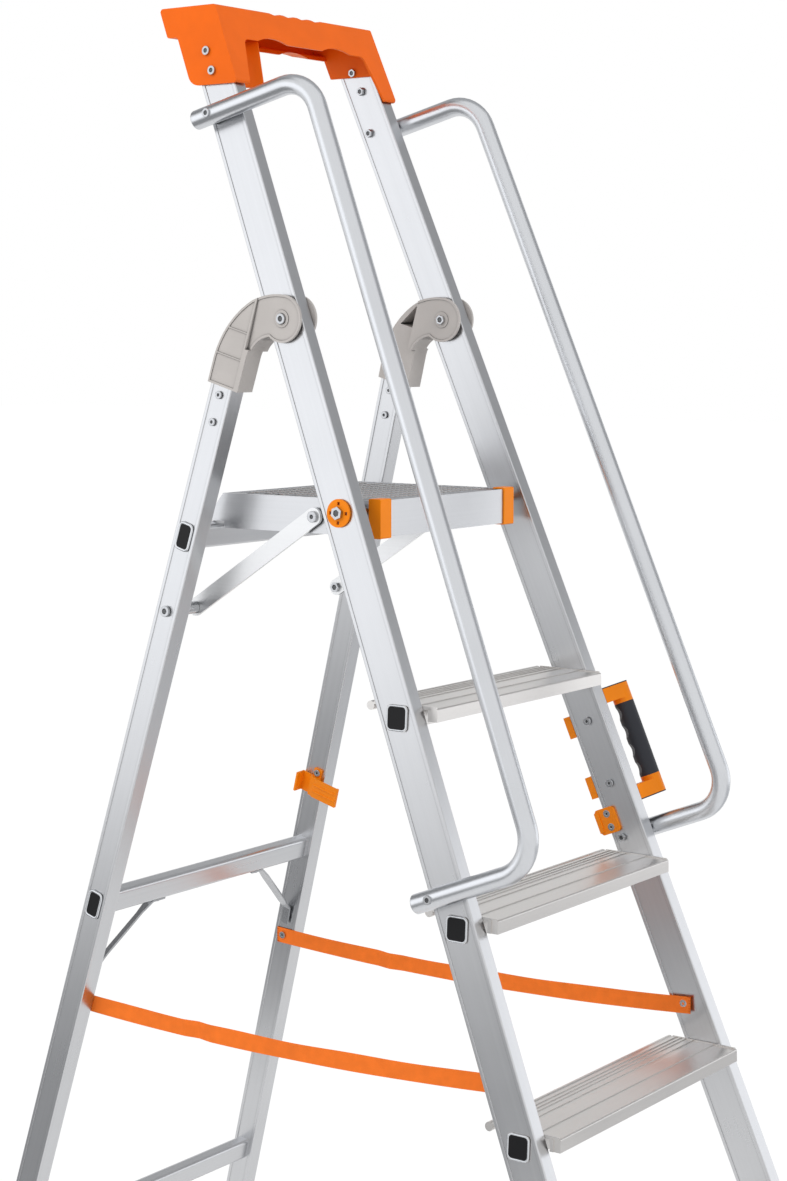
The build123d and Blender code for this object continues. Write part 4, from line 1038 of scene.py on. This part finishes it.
def strap_piece(word, side, props, material):
    """One woven strap that hangs between its rivets, a little slack and creased."""
    low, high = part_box(f"strap_{word}")
    front_low, front_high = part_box("strap_rivets_front")
    rear_low, rear_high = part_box("strap_rivets_rear")
    front_x, rear_x = (low.x, high.x) if side > 0 else (high.x, low.x)
    front_z = (front_low.z + front_high.z) / 2
    rear_z = (rear_low.z + rear_high.z) / 2
    length = high.y - low.y
    made = bmesh.new()
    bmesh.ops.create_grid(made, x_segments=STRAP_STEPS, y_segments=STRAP_LANES, size=0.5)
    chart = made.loops.layers.uv.new("strap")
    for face in made.faces:
        for loop in face.loops:
            run, across = loop.vert.co.x + 0.5, loop.vert.co.y + 0.5
            loop[chart].uv = (run * length, across * props.width)
    for point in made.verts:
        run, across = point.co.x + 0.5, point.co.y
        sag = 4 * props.sag * run * (1 - run)
        ripple = RIPPLE * math.sin(run * RIPPLE_WAVE) * math.sin(math.pi * run) * (across + RIPPLE_LEAN)
        crease = props.crease * max(0.0, 1 - abs(run - CREASE_AT) / CREASE_REACH)
        point.co = (
            front_x + (rear_x - front_x) * run - side * (ripple + crease + props.thick),
            low.y + run * length,
            front_z + (rear_z - front_z) * run - sag + across * props.width,
        )
    bmesh.ops.solidify(made, geom=made.faces[:], thickness=props.thick)
    return object_from(made, f"strap_webbing_{word}", material)


class StrapsOperator(bpy.types.Operator):
    """Weaves the two straps between the stiles and the rear legs."""

    bl_idname = "ladder.straps"
    bl_label = "Straps"

    def execute(self, context):
        looks, props = context.scene.ladder_finishes, context.scene.ladder_straps
        webbing = woven("strap_webbing", looks.webbing, props.width, props.pick)
        for word, side in SIDES.items():
            piece = strap_piece(word, side, props, webbing)
            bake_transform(piece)
            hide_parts(f"strap_{word}")
        return {"FINISHED"}


def stage_sheet(name, size, place, facing, material):
    """A flat studio sheet that isn't part of the ladder."""
    made = bmesh.new()
    bmesh.ops.create_grid(made, x_segments=1, y_segments=1, size=size / 2)
    turn = Vector(facing).to_track_quat("Z", "Y").to_matrix().to_4x4()
    bmesh.ops.transform(made, matrix=Matrix.Translation(place) @ turn, verts=made.verts)
    sheet = object_from(made, name, material)
    sheet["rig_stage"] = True
    return sheet


def ray_kinds(field):
    """1 for rays straight from the camera or through glass, then 1 for rays off a mirror-like surface."""
    path = field.node("ShaderNodeLightPath")
    rays = path.socket.node.outputs
    camera, glossy, clear = (
        Field(field.tree, rays[name]) for name in ("Is Camera Ray", "Is Glossy Ray", "Is Transmission Ray")
    )
    return camera.largest(clear), glossy


class StageOperator(bpy.types.Operator):
    """Sets the pale floor, the soft studio light and the photograph's camera."""

    bl_idname = "ladder.stage"
    bl_label = "Studio stage"

    def execute(self, context):
        scene, props = context.scene, context.scene.ladder_stage
        scene.view_settings.view_transform = "Standard"
        self.room(scene, props)
        self.floor(props)
        self.flags()
        self.lamps(scene, props)
        self.camera(scene, props)
        return {"FINISHED"}

    def room(self, scene, props):
        """A world that is white to the camera and to polished metal, and a little dimmer as light."""
        world = bpy.data.worlds.new("studio_room")
        world.use_nodes = True
        scene.world = world
        tree = world.node_tree
        tree.nodes.clear()
        start = Field(tree, None)
        seen, mirrored = ray_kinds(start)
        brighter = seen * (1.0 - props.daylight) + mirrored * (props.mirrored - props.daylight)
        strength = brighter + props.daylight
        light = start.node("ShaderNodeBackground", None, {"Color": WHITE, "Strength": strength})
        start.node("ShaderNodeOutputWorld", None, {"Surface": light})

    def floor(self, props):
        """A pale floor that keeps the ladder's shadow and looks white."""
        material, place = surface("studio_floor")
        matt = place.node("ShaderNodeBsdfDiffuse", None, {"Color": FLOOR_GREY})
        seen, mirrored = ray_kinds(place)
        glow = seen * FLOOR_GLOW + mirrored * props.mirrored
        white = place.node("ShaderNodeEmission", None, {"Color": WHITE, "Strength": glow})
        share = seen.largest(mirrored) * FLOOR_WHITE
        both = place.node("ShaderNodeMixShader", None, {0: share, 1: matt, 2: white})
        place.node("ShaderNodeOutputMaterial", None, {"Surface": both})
        stage_sheet("studio_floor", FLOOR_SIZE, (0, 0, 0), (0, 0, 1), material)

    def flags(self):
        """Grey and pale sheets that only reflections show, so that the metal's faces differ in tone."""
        for name, size, place, facing, shade in (
            ("flag_right", 4.2, (3.4, -2.3, 3.1), (-3.4, 2.3, -1.3), 0.45),
            ("flag_left", 2.8, (-1.9, 1.7, 0.006), (0, 0, 1), 0.34),
            ("flag_front", 2.4, (1.9, -1.5, 0.006), (0, 0, 1), 0.68),
            ("flag_top", 5.0, (2.2, 1.6, 4.2), (-1.2, -0.9, -2.6), 0.48),
            ("flag_back", 5.0, (0.2, 4.0, 4.0), (-0.1, -1.0, -1.3), 0.28),
            ("panel_left", 2.6, (-3.0, 2.5, 1.75), (3.0, -2.5, -0.5), 1.5),
            ("panel_front", 2.2, (3.2, -2.2, 0.75), (-3.2, 2.2, 0.2), 1.42),
        ):
            material, field = surface(name)
            grey = field.node("ShaderNodeEmission", None, {"Color": FLAG_TINT, "Strength": shade})
            field.node("ShaderNodeOutputMaterial", None, {"Surface": grey})
            material.cycles.emission_sampling = "NONE"
            flag = stage_sheet(name, size, place, facing, material)
            flag.visible_camera = False
            flag.visible_diffuse = False
            flag.visible_shadow = False

    def lamps(self, scene, props):
        """Two soft lamps that polished metal doesn't reflect."""
        for name, at, power, size in (
            ("key_lamp", (-2.6, 0.9, 3.2), props.key, 2.4),
            ("fill_lamp", (-0.6, -3.4, 2.6), props.key * FILL_SHARE, 2.0),
        ):
            lamp = bpy.data.lights.new(name, "AREA")
            lamp.energy = power
            lamp.size = size
            holder = bpy.data.objects.new(name, lamp)
            holder.location = at
            aim = LAMP_AIM - Vector(at)
            holder.rotation_euler = aim.to_track_quat("-Z", "Y").to_euler()
            holder.visible_glossy = False
            scene.collection.objects.link(holder)

    def camera(self, scene, props):
        """The photograph's camera, shifted as its framing needs."""
        lens = bpy.data.cameras.new("photo_camera")
        lens.sensor_width = SENSOR
        lens.lens = FOCAL_PIXELS / PHOTO_TALL * SENSOR
        lens.shift_x = (PHOTO_WIDE / 2 - CENTRE_PIXEL[0]) / PHOTO_TALL
        lens.shift_y = (CENTRE_PIXEL[1] - PHOTO_TALL / 2) / PHOTO_TALL
        holder = bpy.data.objects.new("photo_camera", lens)
        holder.location = props.camera_at
        forward = Vector((
            -math.sin(props.azimuth) * math.cos(props.pitch),
            math.cos(props.azimuth) * math.cos(props.pitch),
            -math.sin(props.pitch),
        ))
        holder.rotation_euler = forward.to_track_quat("-Z", "Y").to_euler()
        scene.collection.objects.link(holder)
        scene.camera = holder


class LadderPanel(bpy.types.Panel):
    """Lists the ladder's pieces and the stage."""

    bl_idname = "VIEW3D_PT_ladder"
    bl_label = "Step ladder"
    bl_space_type = "VIEW_3D"
    bl_region_type = "UI"
    bl_category = "Ladder"

    def draw(self, context):
        """Draws a button for each operator, then the settings."""
        for operator in OPERATORS:
            self.layout.operator(operator.bl_idname)
        for holder, group in SETTINGS.items():
            column = self.layout.column()
            for name in group.__annotations__:
                column.prop(getattr(context.scene, holder), name)


OPERATORS = (
    StageOperator,
    RailsOperator,
    TreadsOperator,
    PlatformOperator,
    HandrailsOperator,
    HeadOperator,
    ForkHingesOperator,
    CarryHandleOperator,
    ShoesOperator,
    FastenersOperator,
    StrapsOperator,
)
SETTINGS = {
    "ladder_finishes": LadderFinishes,
    "ladder_straps": LadderStraps,
    "ladder_stage": LadderStage,
}


def register():
    """Registers the classes and gives the scene its settings."""
    for group in (*SETTINGS.values(), *OPERATORS, LadderPanel):
        bpy.utils.register_class(group)
    for holder, group in SETTINGS.items():
        setattr(bpy.types.Scene, holder, bpy.props.PointerProperty(type=group))


def unregister():
    """Takes the settings and the classes away again."""
    for holder in SETTINGS:
        delattr(bpy.types.Scene, holder)
    for group in (LadderPanel, *reversed(OPERATORS), *reversed(SETTINGS.values())):
        bpy.utils.unregister_class(group)


def main():
    """Builds everything in order."""
    register()
    for operator in OPERATORS:
        group, name = operator.bl_idname.split(".")
        getattr(getattr(bpy.ops, group), name)()
    boxes = {"cad": CAD_BOX, "visual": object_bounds()}
    sizes = {name: [list(low), list(high)] for name, (low, high) in boxes.items()}


if __name__ == "__main__":
    main()
